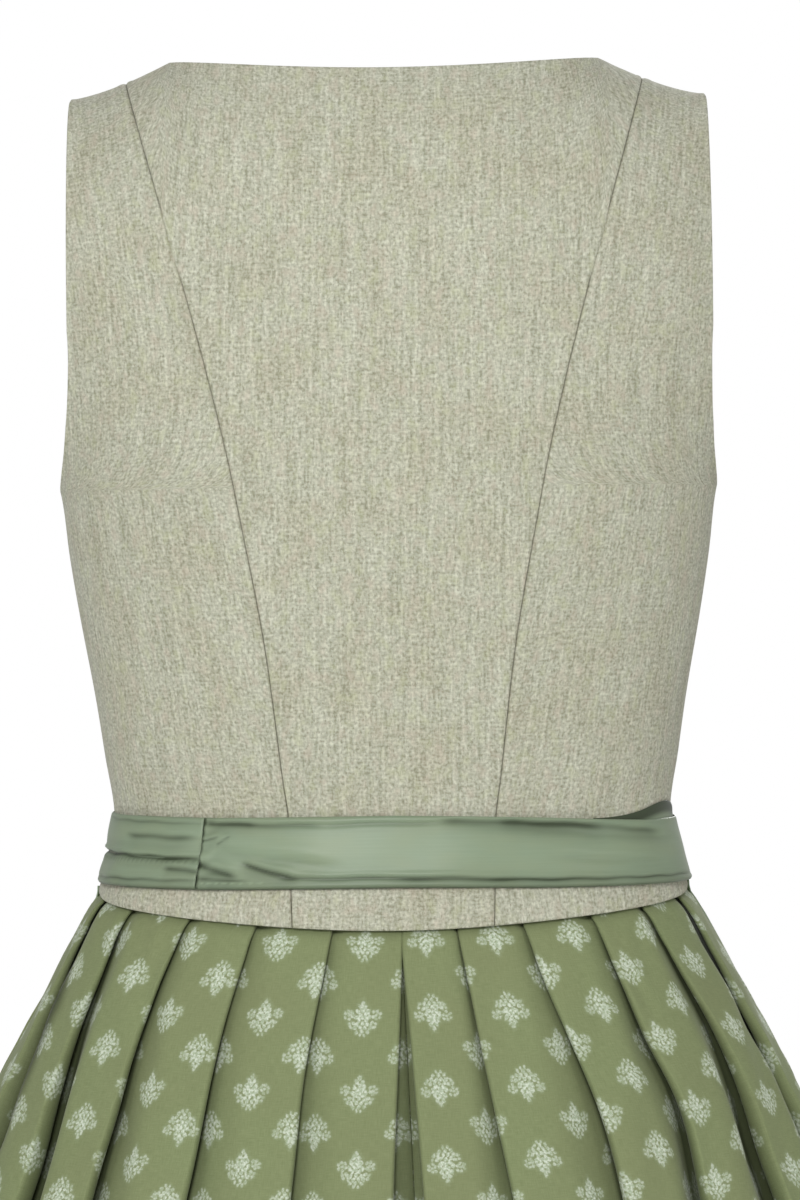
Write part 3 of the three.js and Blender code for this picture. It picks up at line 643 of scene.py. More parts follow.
def real_level(level, angle):
    """Below -380 the rows fan out to follow the waist seam, which dips at the centre."""
    point = torso_point(angle, np.full_like(level, SEAM_SIDE_Z))
    seam = seam_z(point[..., 0], point[..., 1]) + SEAM_GAP
    share = np.clip((level + 400) / 20, 0, 1)
    return np.where(level < -380, seam + (-380 - seam) * share, level)


# %% [markdown]
# A panel is then a matter of where its two edges run. `relief` is all that makes it cloth and
# not sheet metal: the seam's dip and ridges, a slow unevenness, and a few soft creases where the
# waist is drawn in.

# %% Bodice panels
def panel_columns(width, fill):
    """Shares across a panel for each row, crowded at both edges. Width is one number per row."""
    steps = SEAM_STEPS[None, :] / width[:, None]
    steps = steps * np.minimum(1.0, 0.4 / steps[:, -1:])
    inner = np.linspace(0, 1, fill)[None, 1:-1]
    middle = steps[:, -1:] + (1 - 2 * steps[:, -1:]) * inner
    return np.concatenate([steps, middle, 1 - steps[:, ::-1]], 1)


def bodice_panel(name, start_angle, end_angle, free, full_roll=None, seed=1, fill=34):
    """start_angle and end_angle are functions of the level. `free` says above which level the
    start or the end is a free edge, and whether the top is one. The rest is sewn."""
    level = bodice_levels()
    a, b = start_angle(level), end_angle(level)
    width = np.linalg.norm(torso_point(a, level) - torso_point(b, level), axis=-1)
    share = panel_columns(width, fill)
    angle = a[:, None] + (b - a)[:, None] * share
    grid_level = np.broadcast_to(level[:, None], angle.shape)
    grid_level = real_level(grid_level, angle)
    if full_roll is not None:
        x = np.abs(torso_point(angle, np.minimum(grid_level, SPRING_Z))[..., 0])
        over = SPRING_Z + (grid_level - SPRING_Z) / 90 * full_roll(x)
        grid_level = np.where(grid_level > SPRING_Z, over, grid_level)
    points, normal = torso_point(angle, grid_level), torso_normal(angle, grid_level)
    from_start = share * width[:, None]
    from_end = (1 - share) * width[:, None]
    from_top = path_lengths(points[::-1], 0)[::-1]
    from_seam = path_lengths(points, 0)
    relief, turned, shade = np.zeros((3, *share.shape))
    for edge, away in (("start", from_start), ("end", from_end)):
        is_free = (level > free.get(edge, np.inf))[:, None]
        sewn = -0.5 * bell(away, 0, 0.5) + 0.3 * bell(away, 2.2, 1.4)
        relief += np.where(is_free, 0.25 * bell(away, 1.6, 1.2), sewn)
        turned += np.where(is_free, bell(away, 0, 0.55), 0)
        # Painted shade in the dip of each sewn seam.
        shade += np.where(is_free, 0, bell(away, 0, 0.5))
    if free.get("top"):
        relief += 0.25 * bell(from_top, 1.6, 1.2)
        turned += bell(from_top, 0, 0.55)
    else:
        relief += -0.8 * bell(from_top, 0, 0.8) + 0.25 * bell(from_top, 2.4, 1.4)
        # Painted shade in the dip of the shoulder seam.
        shade += bell(from_top, 0, 0.6)
    relief += -0.35 * bell(from_seam, 0, 0.7)
    x, z = points[..., 0], points[..., 2]
    side_ways = np.degrees(angle) * 2.2
    calm = smooth(np.minimum(np.minimum(from_start, from_end), from_top), 1, 14)
    relief += 0.3 * calm * waves(side_ways, z, seed, 62)
    drag = bell(z, -338, 34) * waves(side_ways * 0.35, z * 1.6 + 0.25 * side_ways, seed + 9, 30)
    relief += 0.32 * calm * drag
    outside = points + normal * (relief - 0.75 * np.clip(turned, 0, 1))[..., None]
    inner = -WALL["bodice"] + 0.6 * np.clip(turned, 0, 1)
    inside = points + normal * (np.minimum(relief, 0.2) + inner)[..., None]
    u = path_lengths(points, 1)
    u = u - u[:, u.shape[1] // 2][:, None]
    v = np.broadcast_to(path_lengths(points, 0)[:, points.shape[1] // 2][:, None], u.shape) + seed * 37
    # The colour gets the seams' painted shade and a little painted shade that grows towards the waist.
    return cloth(
        name, outside, inside, np.stack([u, v], -1), [MELANGE, LINING],
        shade=0.24 * shade + 0.05 * smooth(-z, 290, 390),
    )


def neck_roll(x):
    z = -NECK_DIP * (1 - np.clip(x / NECK_X, 0, 1) ** 2)
    ratio = np.clip((z - SPRING_Z) / (body_top(x) - SPRING_Z), -1, 1)
    return np.where(x >= NECK_X, 90.0, np.degrees(np.arcsin(ratio)))


def back_edge(sign, gap=-SEAM_GAP / 2):
    return lambda level: sign * edge_angle(BACK_SEAM, level, True, gap)


def make_bodice_back_and_sides():
    bodice_panel("bodice_back", back_edge(1), back_edge(-1), {"top": True}, neck_roll, 3, 56)
    for side, word in ((1, "left"), (-1, "right")):
        bodice_panel(
            f"bodice_side_back_{word}",
            lambda level, s=side: s * armhole_angle(level, True, ARM_INSET[s]),
            lambda level, s=side: s * edge_angle(BACK_SEAM, level, True, SEAM_GAP / 2),
            {"start": UNDERARM_Z}, None, 11 + side,
        )
        bodice_panel(
            f"bodice_side_front_{word}",
            lambda level, s=side: s * edge_angle(FRONT_SEAM, level, False, SEAM_GAP / 2),
            lambda level, s=side: s * armhole_angle(level, False, ARM_INSET[s]),
            {"end": UNDERARM_Z, "start": FRONT_NECK["corner"]}, None, 17 + side,
        )


make_bodice_back_and_sides()

# %% [markdown]
# The two centre fronts end at the neckline, not at the shoulder, so their rows run from the
# waist seam to a curve of their own. The right one laps over the left.

# %% Centre fronts
def neckline_z(x, edge):
    return FRONT_NECK["centre"] + (FRONT_NECK["corner"] - FRONT_NECK["centre"]) * np.abs(x / edge) ** 2.4


def centre_front(side):
    word = "left" if side > 0 else "right"
    inner = LAP_X + SEAM_GAP if side > 0 else -LAP_X
    rows = np.unique(np.concatenate([np.linspace(0, 1, 80), [0.001, 0.003, 0.006, 0.994, 0.9965, 0.9985]]))
    bottom, corner = SEAM_SIDE_Z - SEAM_DIP_FRONT, FRONT_NECK["corner"]
    edge_at = lambda z: read(FRONT_SEAM, 1, z) - SEAM_GAP / 2
    width = np.full(len(rows), 80.0)
    share = panel_columns(width, 26)
    z = bottom + (corner - bottom) * rows[:, None] + 0 * share
    for _ in range(8):
        x = inner + (edge_at(z) - inner) * share
        low = seam_z(x, torso_point(angle_at_x(x, z, False), z)[..., 1]) + SEAM_GAP
        z = low + (neckline_z(x, edge_at(corner)) - low) * rows[:, None]
    angle = angle_at_x(side * x, z, False)
    points, normal = torso_point(angle, z), torso_normal(angle, z)
    from_lap, from_seam_edge = share * width[:, None], (1 - share) * width[:, None]
    from_top = path_lengths(points[::-1], 0)[::-1]
    relief = -0.85 * bell(from_seam_edge, 0, 0.75) + 0.28 * bell(from_seam_edge, 2.6, 1.5)
    relief = relief + 0.25 * bell(from_top, 1.6, 1.2) + 0.25 * bell(from_lap, 1.6, 1.2)
    if side < 0:
        relief = relief + 0.5 * bell(from_lap, 0, 18)
    turned = np.clip(bell(from_top, 0, 0.55) + bell(from_lap, 0, 0.55), 0, 1)
    relief = relief + 0.2 * smooth(np.minimum(from_top, from_seam_edge), 1, 12) * waves(x, z, 5 + side, 40)
    outside = points + normal * (relief - 0.75 * turned)[..., None]
    inside = points + normal * (np.minimum(relief, 0.2) - WALL["bodice"] + 0.6 * turned)[..., None]
    u = path_lengths(points, 1)
    v = path_lengths(points, 0)
    name = f"bodice_front_{word}"
    # Painted shade in the dip of the princess seam.
    cloth(
        name, outside, inside, np.stack([u, v], -1), [MELANGE, LINING],
        shade=0.6 * bell(from_seam_edge, 0, 0.6),
    )


centre_front(1)
centre_front(-1)

# %% [markdown]
# ## The skirt
#
# A knife pleat is one strip of cloth that runs along, dives under its neighbour, turns, comes
# back and turns again at the next fold edge. Here that strip is drawn once as a path: distance
# round the waist, and depth under the outer layer. The same path is laid at every height, with
# the widths that the flare gives it there. On each half of the dress the fold edges look at the
# centre back, where the first two face each other over an inverted pleat.
#
# What makes it look sewn and worn is the unevenness: each fold wanders a little on the way down,
# some gape more than others, and the faces between them bow.

# %% One level section of the skirt
def skirt_ring(z):
    row = {key: float(read(SKIRT, k, z)) for k, key in enumerate(
        ("half_width", "back", "front", "side", "fold", "step", "open", "turn"), 1)}
    down = min((SKIRT_TOP_Z - z) / 60, 1.0)
    power = [TORSO_POWER[k] + (SKIRT_POWER - TORSO_POWER[k]) * down for k in ("back", "front")]
    t = np.linspace(0, math.pi, 721)
    x, y = section_point(row["half_width"], row["back"], row["front"], row["side"], t, *power)
    along = np.concatenate([[0], np.cumsum(np.hypot(np.diff(x), np.diff(y)))])
    tangent = np.stack([np.gradient(x), np.gradient(y)], -1)
    normal = np.stack([-tangent[:, 1], tangent[:, 0]], -1)
    normal /= np.linalg.norm(normal, axis=1, keepdims=True)
    row["half"] = along[-1]

    def at(distance):
        half = row["half"]
        wrapped = np.mod(distance + half, 2 * half) - half
        target, sign = np.abs(wrapped), np.where(wrapped < 0, -1.0, 1.0)
        px, py = np.interp(target, along, x), np.interp(target, along, y)
        nx, ny = np.interp(target, along, normal[:, 0]), np.interp(target, along, normal[:, 1])
        return px * sign, py, nx * sign, ny

    row["at"] = at
    return row


PLEAT_CLOTH = {1: 78.5, -1: 79.5}  # cloth in one pleat: the print moves on a little with each
PRINT_START = {1: (5.4, 401.0), -1: (-0.6, 417.2)}  # where the print's repeat begins
FOLDS = {  # for each side of the back: where its folds lie off an even spacing, in millimetres
    1: [  # at the waist seam, at the hip, the belly between them, the belly's height
        (0, 3.5, 0, -460),
        (0, 4.3, 2.9, -462),
        (3.8, 6.5, 3.6, -455),
        (5.6, 9.5, 5.0, -455),
        (12, 3, 4.0, -475),
        (15, 7, 3.0, -470),
        (11, 8, 0, -470),
        (6, 5, 0, -470),
    ],
    -1: [
        (0, -2.4, 0, -460),
        (-6.2, -6.6, -0.5, -460),
        (-7.3, -3.5, 5.0, -488),
        (-5, -11, 8.5, -492),
        (-6.5, -9, 10.0, -474),
        (-2, -6, 5.0, -480),
        (0, -3, 0, -470),
    ],
}
FACE = np.unique(np.concatenate([
    np.linspace(0, 1, 17), [0.012, 0.03, 0.95, 0.975, 0.99],
]))
HALF_TURN = np.linspace(0, math.pi, 8)


def run_length(s, r):
    """How far along a path each of its points lies."""
    return np.concatenate([[0], np.cumsum(np.hypot(np.diff(s), np.diff(r)))])


def wander(k, side, z):
    """How far a fold edge strays from its straight line, in millimetres."""
    depth = smooth(-z, -SKIRT_TOP_Z + 5, 640)
    rng = np.random.default_rng(100 + 7 * k + (50 if side > 0 else 0))
    p = rng.uniform(0, 2 * math.pi, 3)
    return depth * (1.5 * np.sin(z / 95 + p[0]) + 0.9 * np.sin(z / 41 + p[1]) + 0.35 * np.sin(z / 17 + p[2]))


PAINTED_GAP_SHADOW_WIDTH = {(1, 4): 27.0, (-1, 4): 3.5, (-1, 5): 5.0}  # side, fold: how wide the painted shadow under the next fold is
GAPES = {1: (1, 1.25, 1.4, 1.8, 2.6, 3.6, 3.0, 2.0), -1: (1, 1.2, 1.5, 2.0, 2.4, 2.4, 2.6, 1.8)}


def fold_shift(k, side, z):
    if k >= len(FOLDS[side]):
        return 0.0
    at_seam, at_hip, belly, height = FOLDS[side][k]
    down = float(smooth(-z, 400, 545))
    return at_seam + (at_hip - at_seam) * down + belly * float(bell(z, height, 42))


def pleat_path(ring, gore, side, z):
    """Distance round, depth, cloth distance and painted shade of one gore's mid-surface at one height."""
    half, fold, step, opening = ring["half"], ring["fold"], ring["step"], ring["open"]
    width = (half - opening) / PLEATS

    def edge(k):
        place = opening + k * width
        if k < PLEATS:
            place += fold_shift(k, side, z) + (wander(k, side, z) if k else 0)
        return place

    def depth(k):
        """How deep the gap at a fold is. Pleats at the sides of the body stand open more."""
        gape = GAPES[side][k] if 0 < k < len(GAPES[side]) else 1.2
        return 2 * step * (1 + (gape - 1) * float(smooth(-z, 402, 520)))

    def underlay(k, distance):
        """The hidden layer rises from the bottom of the gap to lie flat behind the next face."""
        return -depth(k) + (depth(k) - 2 * step) * np.clip((distance - edge(k)) / fold, 0, 1)

    first, last = gore * PLEATS_PER_GORE, (gore + 1) * PLEATS_PER_GORE
    pleat_cloth = PLEAT_CLOTH[side]
    path = []

    def put(distance, depth, along, shade):
        path.append(np.stack(np.broadcast_arrays(distance, depth, along, shade)))

    # The last value put for each part of the path is the shade painted into its colour: heavy on the hidden
    # layers and inside each fold's turn, easing off round the fold edge.
    for k in range(first, last):
        here, there = edge(k), edge(k + 1) if k + 1 < PLEATS else half - SEAM_GAP / 2
        deep = depth(k) / 2
        nose_out = (1.3 + 1.2 * float(bell(k, 4.5, 2))) * float(smooth(-z, 408, 520))
        start_u = k * pleat_cloth
        if k == first:
            begin = SEAM_GAP / 2 if gore == 0 else here + (fold + SEAM_GAP) / 2
            n = 8 if gore == 0 else 3
            from_u = start_u - (here + 2 * fold - begin)
            painted_dark = np.linspace(0.4, 1, n) if gore == 0 else 0.9
            layer = np.linspace(begin, here + fold, n)
            put(layer, underlay(k, layer), np.linspace(from_u, start_u - fold, n), painted_dark)
        else:
            layer = np.linspace(here + 2, here + fold, 4)
            put(layer, underlay(k, layer), np.linspace(start_u - 2 * fold + 2, start_u - fold, 4), 0.9)
        turn = HALF_TURN[1:-1]
        turn_s = here + fold + 0.5 * step * np.sin(turn)
        put(turn_s, -1.5 * step - 0.5 * step * np.cos(turn), start_u - fold, 0.9)
        edge_s = here - min(deep / 2, 1.3) * np.sin(turn)
        edge_r = -deep / 2 - deep / 2 * np.cos(turn) + nose_out * turn / math.pi
        laid = run_length(edge_s, edge_r)
        laid -= laid[-1] + 0.5
        along = np.linspace(start_u - fold + 1, start_u + laid[0] - 0.5, 6)
        put(np.linspace(here + fold, here, 6), np.linspace(-step, -deep, 6), along, np.linspace(0.9, 0.7, 6))
        put(edge_s, edge_r, start_u + laid, 0.7 * (1 - turn / math.pi))
        x = FACE
        face_s = here + (there - here) * x
        flat_to = fold / max(there - here, 1)
        is_last = k + 1 == PLEATS
        drop = smooth(x, min(flat_to, 0.85), 1.0)
        bow = (0.9 + 0.03 * (there - here)) * np.sin(math.pi * np.clip(x, 0, 1)) * float(smooth(-z, 405, 620))
        tilt = nose_out * (1 - x) ** 1.5
        face_r = -(0.5 * step if is_last else depth(k + 1)) * drop + bow * (1 - drop) + tilt
        under = (1 - x) * (there - here)  # how far a point lies from the next fold's edge
        reach = 1.4 + 0.5 * depth(k + 1)
        # Painted shadow on each face where it dives under the next fold edge, and over a wider stretch of the
        # face for the folds listed with gap widths above.
        gap = PAINTED_GAP_SHADOW_WIDTH.get((side, k), 0) * float(smooth(-z, 402, 450))
        painted_dark = 0.5 * np.exp(-((under / reach) ** 1.2)) + 0.5 * np.exp(-((under / 1.3) ** 2))
        painted_gap_shadow = 0.95 * (gap > 0) * (1 - smooth(under, 0.6 * gap, gap + 1))
        painted_dark = np.clip(painted_dark * float(smooth(-z, 396, 415)) + painted_gap_shadow, 0, 1)
        put(face_s, face_r, start_u + run_length(face_s, face_r), 0 if is_last else painted_dark)
    if last < PLEATS:
        there = edge(last)
        along = last * pleat_cloth - 2 * fold + np.linspace(4, fold / 2, 3)
        layer = np.linspace(there + 4, there + (fold - SEAM_GAP) / 2, 3)
        put(layer, underlay(last, layer), along, 0.9)
    return np.concatenate(path, 1)


CREASES = [  # side, from (distance, height), to (distance, height), depth, width
    (-1, (96, -436), (112, -437), 1.1, 3.0),
    (-1, (20, -424), (30, -438), 0.9, 2.2),
    (-1, (112, -437), (121, -452), 0.7, 3.0),
    (1, (74, -424), (92, -430), 0.6, 3.0),
    (1, (118, -420), (128, -446), 0.6, 3.5),
]


def crease_relief(side, s, z):
    total = np.zeros_like(s)
    for crease_side, (s0, z0), (s1, z1), depth, width in CREASES:
        if crease_side != side:
            continue
        ds, dz = s1 - s0, z1 - z0
        t = np.clip(((s - s0) * ds + (z - z0) * dz) / (ds * ds + dz * dz), 0, 1)
        away = np.hypot(s - s0 - t * ds, z - z0 - t * dz)
        total += depth * (0.6 * bell(away, width * 1.6, width) - bell(away, 0, width))
    return total


# %% The eight gores
SKIRT_LENGTH = 630.0
SKIRT_ROWS = np.unique(np.concatenate([
    [-0.0035, -0.001, 0.001, 0.003, 0.005, 0.008, 0.012, 0.017],
    np.linspace(0.024, 0.36, 46),
    np.linspace(0.37, 0.992, 52),
    [0.9955, 0.998, 1.0],
]))


def skirt_gore(gore, side):
    word = "left" if side > 0 else "right"
    outer, inner, uv_u, shades = [], [], [], []
    for share in SKIRT_ROWS:
        z = SKIRT_TOP_Z + (HEM_Z - SKIRT_TOP_Z) * max(share, 0)
        ring = skirt_ring(z)
        s, r, u, shade = pleat_path(ring, gore, side, z)
        ds, dr = np.gradient(s), np.gradient(r)
        long = np.hypot(ds, dr)
        ns, nr = -dr / long, ds / long
        stitches = 0.4 * float(bell((1 - share) * (SKIRT_TOP_Z - HEM_Z), 28, 1.6))  # along the hem
        tuck = 1.7 * (1 - float(smooth(share * SKIRT_LENGTH, -0.5, 4.5)))  # into the waist seam
        rows = []
        for offset in (WALL["skirt"] / 2, -WALL["skirt"] / 2):
            ss, rr = s + ns * offset, r + nr * offset - CAD_SKIRT_WALL / 2 - tuck - stitches
            px, py, nx, ny = ring["at"](side * ss + ring["turn"])
            height = seam_z(px, py) - SEAM_GAP
            pz = height + (HEM_Z - height) * share
            rr = rr + crease_relief(side, ss, pz) * smooth(rr, -1.2 * ring["step"], -0.2 * ring["step"])
            rr = rr + 0.4 * waves(ss, pz, 60 + side, 46) * smooth(-pz, 405, 470)
            rr = rr + 0.55 * waves(ss, pz * 0.16, 90 + side, 15) * smooth(-pz, 400, 460)
            rr = rr + 0.3 * waves(ss, pz * 0.5, 120 + side, 9) * bell(pz, -412, 16)
            px, py = px + nx * rr, py + ny * rr
            rows.append(np.stack([px, py, pz], -1))
        outer.append(rows[0])
        inner.append(rows[1])
        uv_u.append(u)
        # Painted shade just under the bodice's edge along the waist seam.
        shades.append(shade + 0.3 * float(bell(share * SKIRT_LENGTH, 0, 2.0)))
    outside, inside, u = np.array(outer), np.array(inner), np.array(uv_u)
    start_u, start_v = PRINT_START[side]
    down = path_lengths((outside + inside) / 2, 0) - outside[0, :, 2][None]
    uv = np.stack([-side * (u - start_u), -(down - start_v) + PRINT_REPEAT[1] / 2], -1)
    name = f"skirt_gore_{word}_{gore + 1}"
    cloth(name, outside, inside, uv, [PRINTED], shade=np.array(shades))


for side in (1, -1):
    for gore in range(PLEATS // PLEATS_PER_GORE):
        skirt_gore(gore, side)

# %% [markdown]
# ## Waistband and ties
#
# The apron's waistband ends at a seam on the wearer's left back. From there the tie goes on over
# the centre back, round the wearer's right side and over the front to the bow. It is a tube of
# satin, turned out and pressed, with its seam along the lower edge: a narrow rolled rim, a dark
# valley over it, a broad smooth belly, and a fold below the upper edge where the tie is pulled
# tight. Each of those is one term of the relief. The dark of the valley and of the folds is partly
# the relief's own shading and partly shade painted into the colour, as is a darkening towards
# the top and bottom edges.

# %% Strips round the waist
LAYER_UNDER, LAYER_TIE = 0.4, 1.9  # how far the layers stand off the bodice
BAND_END, BOW_DEG = 37.5, 164.0  # degrees round from the centre back

TIE_EDGES = [  # degrees round from the centre back, how far the upper and the lower edge ride up
    (140, 0, 0),
    (85, 2.9, 3.0),
    (60, 2.3, 2.5),
    (35, 1.7, 2.1),
    (0, 2.3, 2.8),
    (-15, 1.4, 2.3),
    (-30, 0.2, 1.6),
    (-45, -1.5, 1.4),
    (-60, -2.6, 1.4),
    (-90, -2.4, 1.2),
    (-150, 0, 0),
]


def waist_strip(name, from_deg, to_deg, offset, relief, rise, rows=46):
    """`relief` gives two things for each point: how far it stands out, and how much shade is painted into its
    colour.
    """
    count = int(abs(to_deg - from_deg) / 0.7)
    degrees = np.linspace(from_deg, to_deg, count)[None, :]
    h = np.unique(np.concatenate([np.linspace(0, 1, rows), [0.012, 0.035, 0.075, 0.1, 0.985]]))[:, None]
    degrees, h = np.broadcast_arrays(degrees, h)
    turned_to = np.where(degrees > 180, degrees - 360, degrees)
    order = np.argsort([row[0] for row in TIE_EDGES])
    edges = np.array(TIE_EDGES, float)[order]
    top = BAND_Z[1] + np.interp(turned_to, edges[:, 0], edges[:, 1]) + rise(degrees)
    bottom = BAND_Z[0] + np.interp(turned_to, edges[:, 0], edges[:, 2])
    z = bottom + (top - bottom) * h
    angle = np.radians(degrees)
    points, normal = torso_point(angle, z), torso_normal(angle, z)
    along = path_lengths(points, 1)
    turned = np.clip(bell(h, 0, 0.018) + bell(h, 1, 0.018), 0, 1)
    stand, shade = relief(degrees, h, along)
    lift = offset(degrees) + stand
    outside = points + normal * (lift + WALL["ribbon"] - 0.35 * turned)[..., None]
    inside = points + normal * (lift + 0.3 * turned)[..., None]
    uv = np.stack([along, path_lengths(points, 0) + 11], -1)
    return cloth(name, outside, inside, uv, [SATIN], shade=shade)


TIE_FOLDS = [  # from (degrees, height), to (degrees, height), how wide, how deep, how much shade is painted
    ((37, 0.92), (24, 0.885), 0.04, 1.0, 0.8),
    ((24, 0.885), (12, 0.875), 0.035, 0.8, 0.6),
    ((12, 0.875), (-8, 0.90), 0.035, 0.5, 0.3),
    ((-8, 0.92), (-22, 0.91), 0.045, 1.1, 0.65),
    ((-20, 0.91), (-42, 0.89), 0.055, 1.4, 0.9),
    ((-40, 0.89), (-64, 0.80), 0.06, 1.0, 0.55),
    ((38, 0.64), (33.5, 0.72), 0.022, 0.5, 0.55),
    ((33.5, 0.61), (30.5, 0.73), 0.02, 0.45, 0.5),
    ((38.5, 0.35), (28.5, 0.16), 0.045, 1.2, 0.85),
    ((27, 0.34), (16, 0.13), 0.04, 1.0, 0.8),
    ((37, 0.14), (26, 0.10), 0.02, 0.4, 0.4),
    ((18, 0.13), (-2, 0.12), 0.025, 0.7, 0.6),
    ((-1, 0.12), (-20, 0.105), 0.028, 0.9, 0.85),
    ((-18, 0.105), (-44, 0.10), 0.024, 0.7, 0.75),
    ((-42, 0.10), (-80, 0.10), 0.02, 0.5, 0.6),
    ((-14, 0.85), (-74, 0.66), 0.07, 0.9, 0.16),
    ((34, 0.50), (10, 0.30), 0.08, 0.6, 0.15),
    ((-30, 0.42), (-62, 0.33), 0.06, 0.5, 0.08),
]
BAND_FOLDS = [
    ((96, 0.46), (37, 0.41), 0.022, 1.6, 1.3),
    ((90, 0.60), (38, 0.55), 0.06, 0.0, 0.12),
    ((63, 0.71), (40, 0.69), 0.045, 0.7, 0.75),
    ((90, 0.30), (37, 0.28), 0.05, 0.0, 0.1),
    ((80, 0.93), (38, 0.91), 0.025, 0.5, 0.45),
    ((47, 0.27), (37, 0.22), 0.035, 1.0, 0.8),
    ((85, 0.09), (38, 0.10), 0.022, 0.5, 0.55),
]


def laid_folds(folds, degrees, h):
    """Each fold is a trough along a line, with a soft ridge over it, that fades at both ends. Its painted
    shade is darkest along the line and runs out below it. Some have no depth and are only painted shade.
    """
    height, shade = np.zeros((2, *degrees.shape))
    for (d0, h0), (d1, h1), wide, deep, painted_dark in folds:
        t = (degrees - d0) / (d1 - d0)
        line = h0 + (h1 - h0) * np.clip(t, 0, 1) + 0.006 * np.sin(degrees * 0.5)
        ends = smooth(t, -0.12, 0.15) * (1 - smooth(t, 0.8, 1.15))
        trough = bell(h, line, wide) * ends
        height += deep * (0.6 * bell(h, line + 2.1 * wide, 1.3 * wide) * ends - trough)
        below = np.clip(line - h, 0, 1)
        tail = np.where(h < line, np.exp(-below / (2.6 * wide)), bell(h, line, 0.7 * wide))
        uneven = 0.85 + 0.15 * np.sin(degrees * 0.21 + 9 * h0)
        shade += painted_dark * uneven * (0.6 * bell(h, line, 0.8 * wide) + 0.6 * tail) * ends
    return height, shade


def tie_relief(degrees, h, along):
    at_side = smooth(np.abs(degrees), 45, 80)
    rim = 0.4 * bell(h, 0.035, 0.03)
    belly = (1.6 - 1.0 * at_side) * np.sin(math.pi * np.clip(h, 0, 1)) ** 0.6
    height, shade = laid_folds(TIE_FOLDS, degrees, h)
    start = bell(degrees, 37.5, 5)
    comb = np.sin(h * 30 + 1.3 * np.sin(degrees * 0.9))
    gathers = 0.3 * start * comb * smooth(h, 0.1, 0.3)
    slow = 0.45 * waves(along, h * 36, 21, 34) * np.sin(math.pi * h)
    dashes = 0.5 + 0.5 * np.sin(along * 2 * math.pi / 2.4)
    stitches = bell(h, 0.075, 0.012) * dashes * smooth(degrees, 20, 24)
    # Painted shade: a thin dark line at the lower edge, a dark line on the seam at the band's end, the
    # troughs of the gathers, and a darkening towards the top and bottom edges; the stitch row takes a little
    # of it away.
    shade = shade + 0.25 * bell(h, 0, 0.02) + 0.7 * bell(degrees, BAND_END, 0.35) - 0.5 * stitches
    shade = shade + 0.2 * start * (0.5 - 0.5 * comb) + 0.2 * np.abs(2 * h - 1.1) ** 2.2
    return rim + belly + height + gathers + slow - 0.3 * stitches, np.clip(shade, 0, 1)


def band_relief(degrees, h, along):
    rim = 0.3 * bell(h, 0.035, 0.03)
    near = smooth(degrees, 120, 92)
    parting = 0.43
    low = np.sin(math.pi * np.clip(h / parting, 0, 1)) ** 0.6 * (h < parting)
    high = np.sin(math.pi * np.clip((h - parting) / (1 - parting), 0, 1)) ** 0.6 * (h >= parting)
    covered = smooth(degrees, 215, 240)  # from here on the tie lies over it
    belly = near * 1.3 * (low + high) + (1 - near) * (1 - 0.8 * covered) * np.sin(math.pi * h) ** 0.7
    height, shade = laid_folds(BAND_FOLDS, degrees, h)
    puckers = np.sin(degrees * 3.4)
    at_parting = near * bell(h, parting - 0.06, 0.04)
    slow = 0.35 * waves(along, h * 36, 33, 40) * np.sin(math.pi * h) * (1 - covered)
    painted_shadow_over_tie = smooth(degrees, 258, 270) * smooth(h, 0.8, 0.9)  # over the tie: painted shadow on the band where it shows above the tie
    # Painted shade in the puckers of the parting, towards the top and bottom of the rolls, and along the
    # lower edge.
    shade = shade + painted_shadow_over_tie + 0.15 * (1 + puckers) * at_parting
    shade = shade + 0.2 * near * np.abs(2 * h - 1) ** 3 + 0.4 * bell(h, 0, 0.02)
    return rim + belly + height + 0.3 * puckers * at_parting + slow, np.clip(shade, 0, 1)


def make_waist():
    def band_offset(degrees):
        return LAYER_TIE + (LAYER_UNDER - LAYER_TIE) * smooth(degrees, 66, 82)

    def band_rise(degrees):
        return 8.5 * bell(degrees, 286, 19)

    def tie_offset(degrees):
        return LAYER_TIE + 0 * degrees

    def under_offset(degrees):
        return LAYER_UNDER + 0 * degrees

    # The right tie lies hidden under the others, so all of it gets painted shade.
    def plain(_degrees, h, _along):
        return 0.3 * np.sin(math.pi * h), 0.6

    def no_move(degrees):
        return 0 * degrees

    waist_strip("apron_waistband", 360 - 42, BAND_END + 0.15, band_offset, band_relief, band_rise)
    waist_strip("apron_tie_left", BAND_END - 0.15, BOW_DEG + 6 - 360, tie_offset, tie_relief, no_move)
    waist_strip("apron_tie_right", 62, -41.4, under_offset, plain, no_move, rows=10)


make_waist()

# %% [markdown]
# ## The apron
#
# One straight width of satin, gathered onto the waistband. The gathers start as many small
# folds, and as they fall they run together into fewer, deeper flutes. Each flute is a wave in
# the distance from the skirt under it, and the small ones fade out on the way down.

# %% The apron's panel
APRON = {"spread": 0.44, "flutes": 9, "clear": 2.5, "length": 569.0}
APRON_COLUMNS = 341
FLUTE = {"top": 1.6, "hem": 15.0}


def flute_depth(share):
    return FLUTE["top"] + (FLUTE["hem"] - FLUTE["top"]) * np.clip(share, 0, 1) ** 0.8


def over_skirt(distance_from_front, z, lift):
    """Points over the outermost layer of the skirt for one height and many distances."""
    ring = skirt_ring(min(z, SKIRT_TOP_Z))
    px, py, nx, ny = ring["at"](ring["half"] - distance_from_front)
    return np.stack([px + nx * lift, py + ny * lift, np.full_like(px, z)], -1)


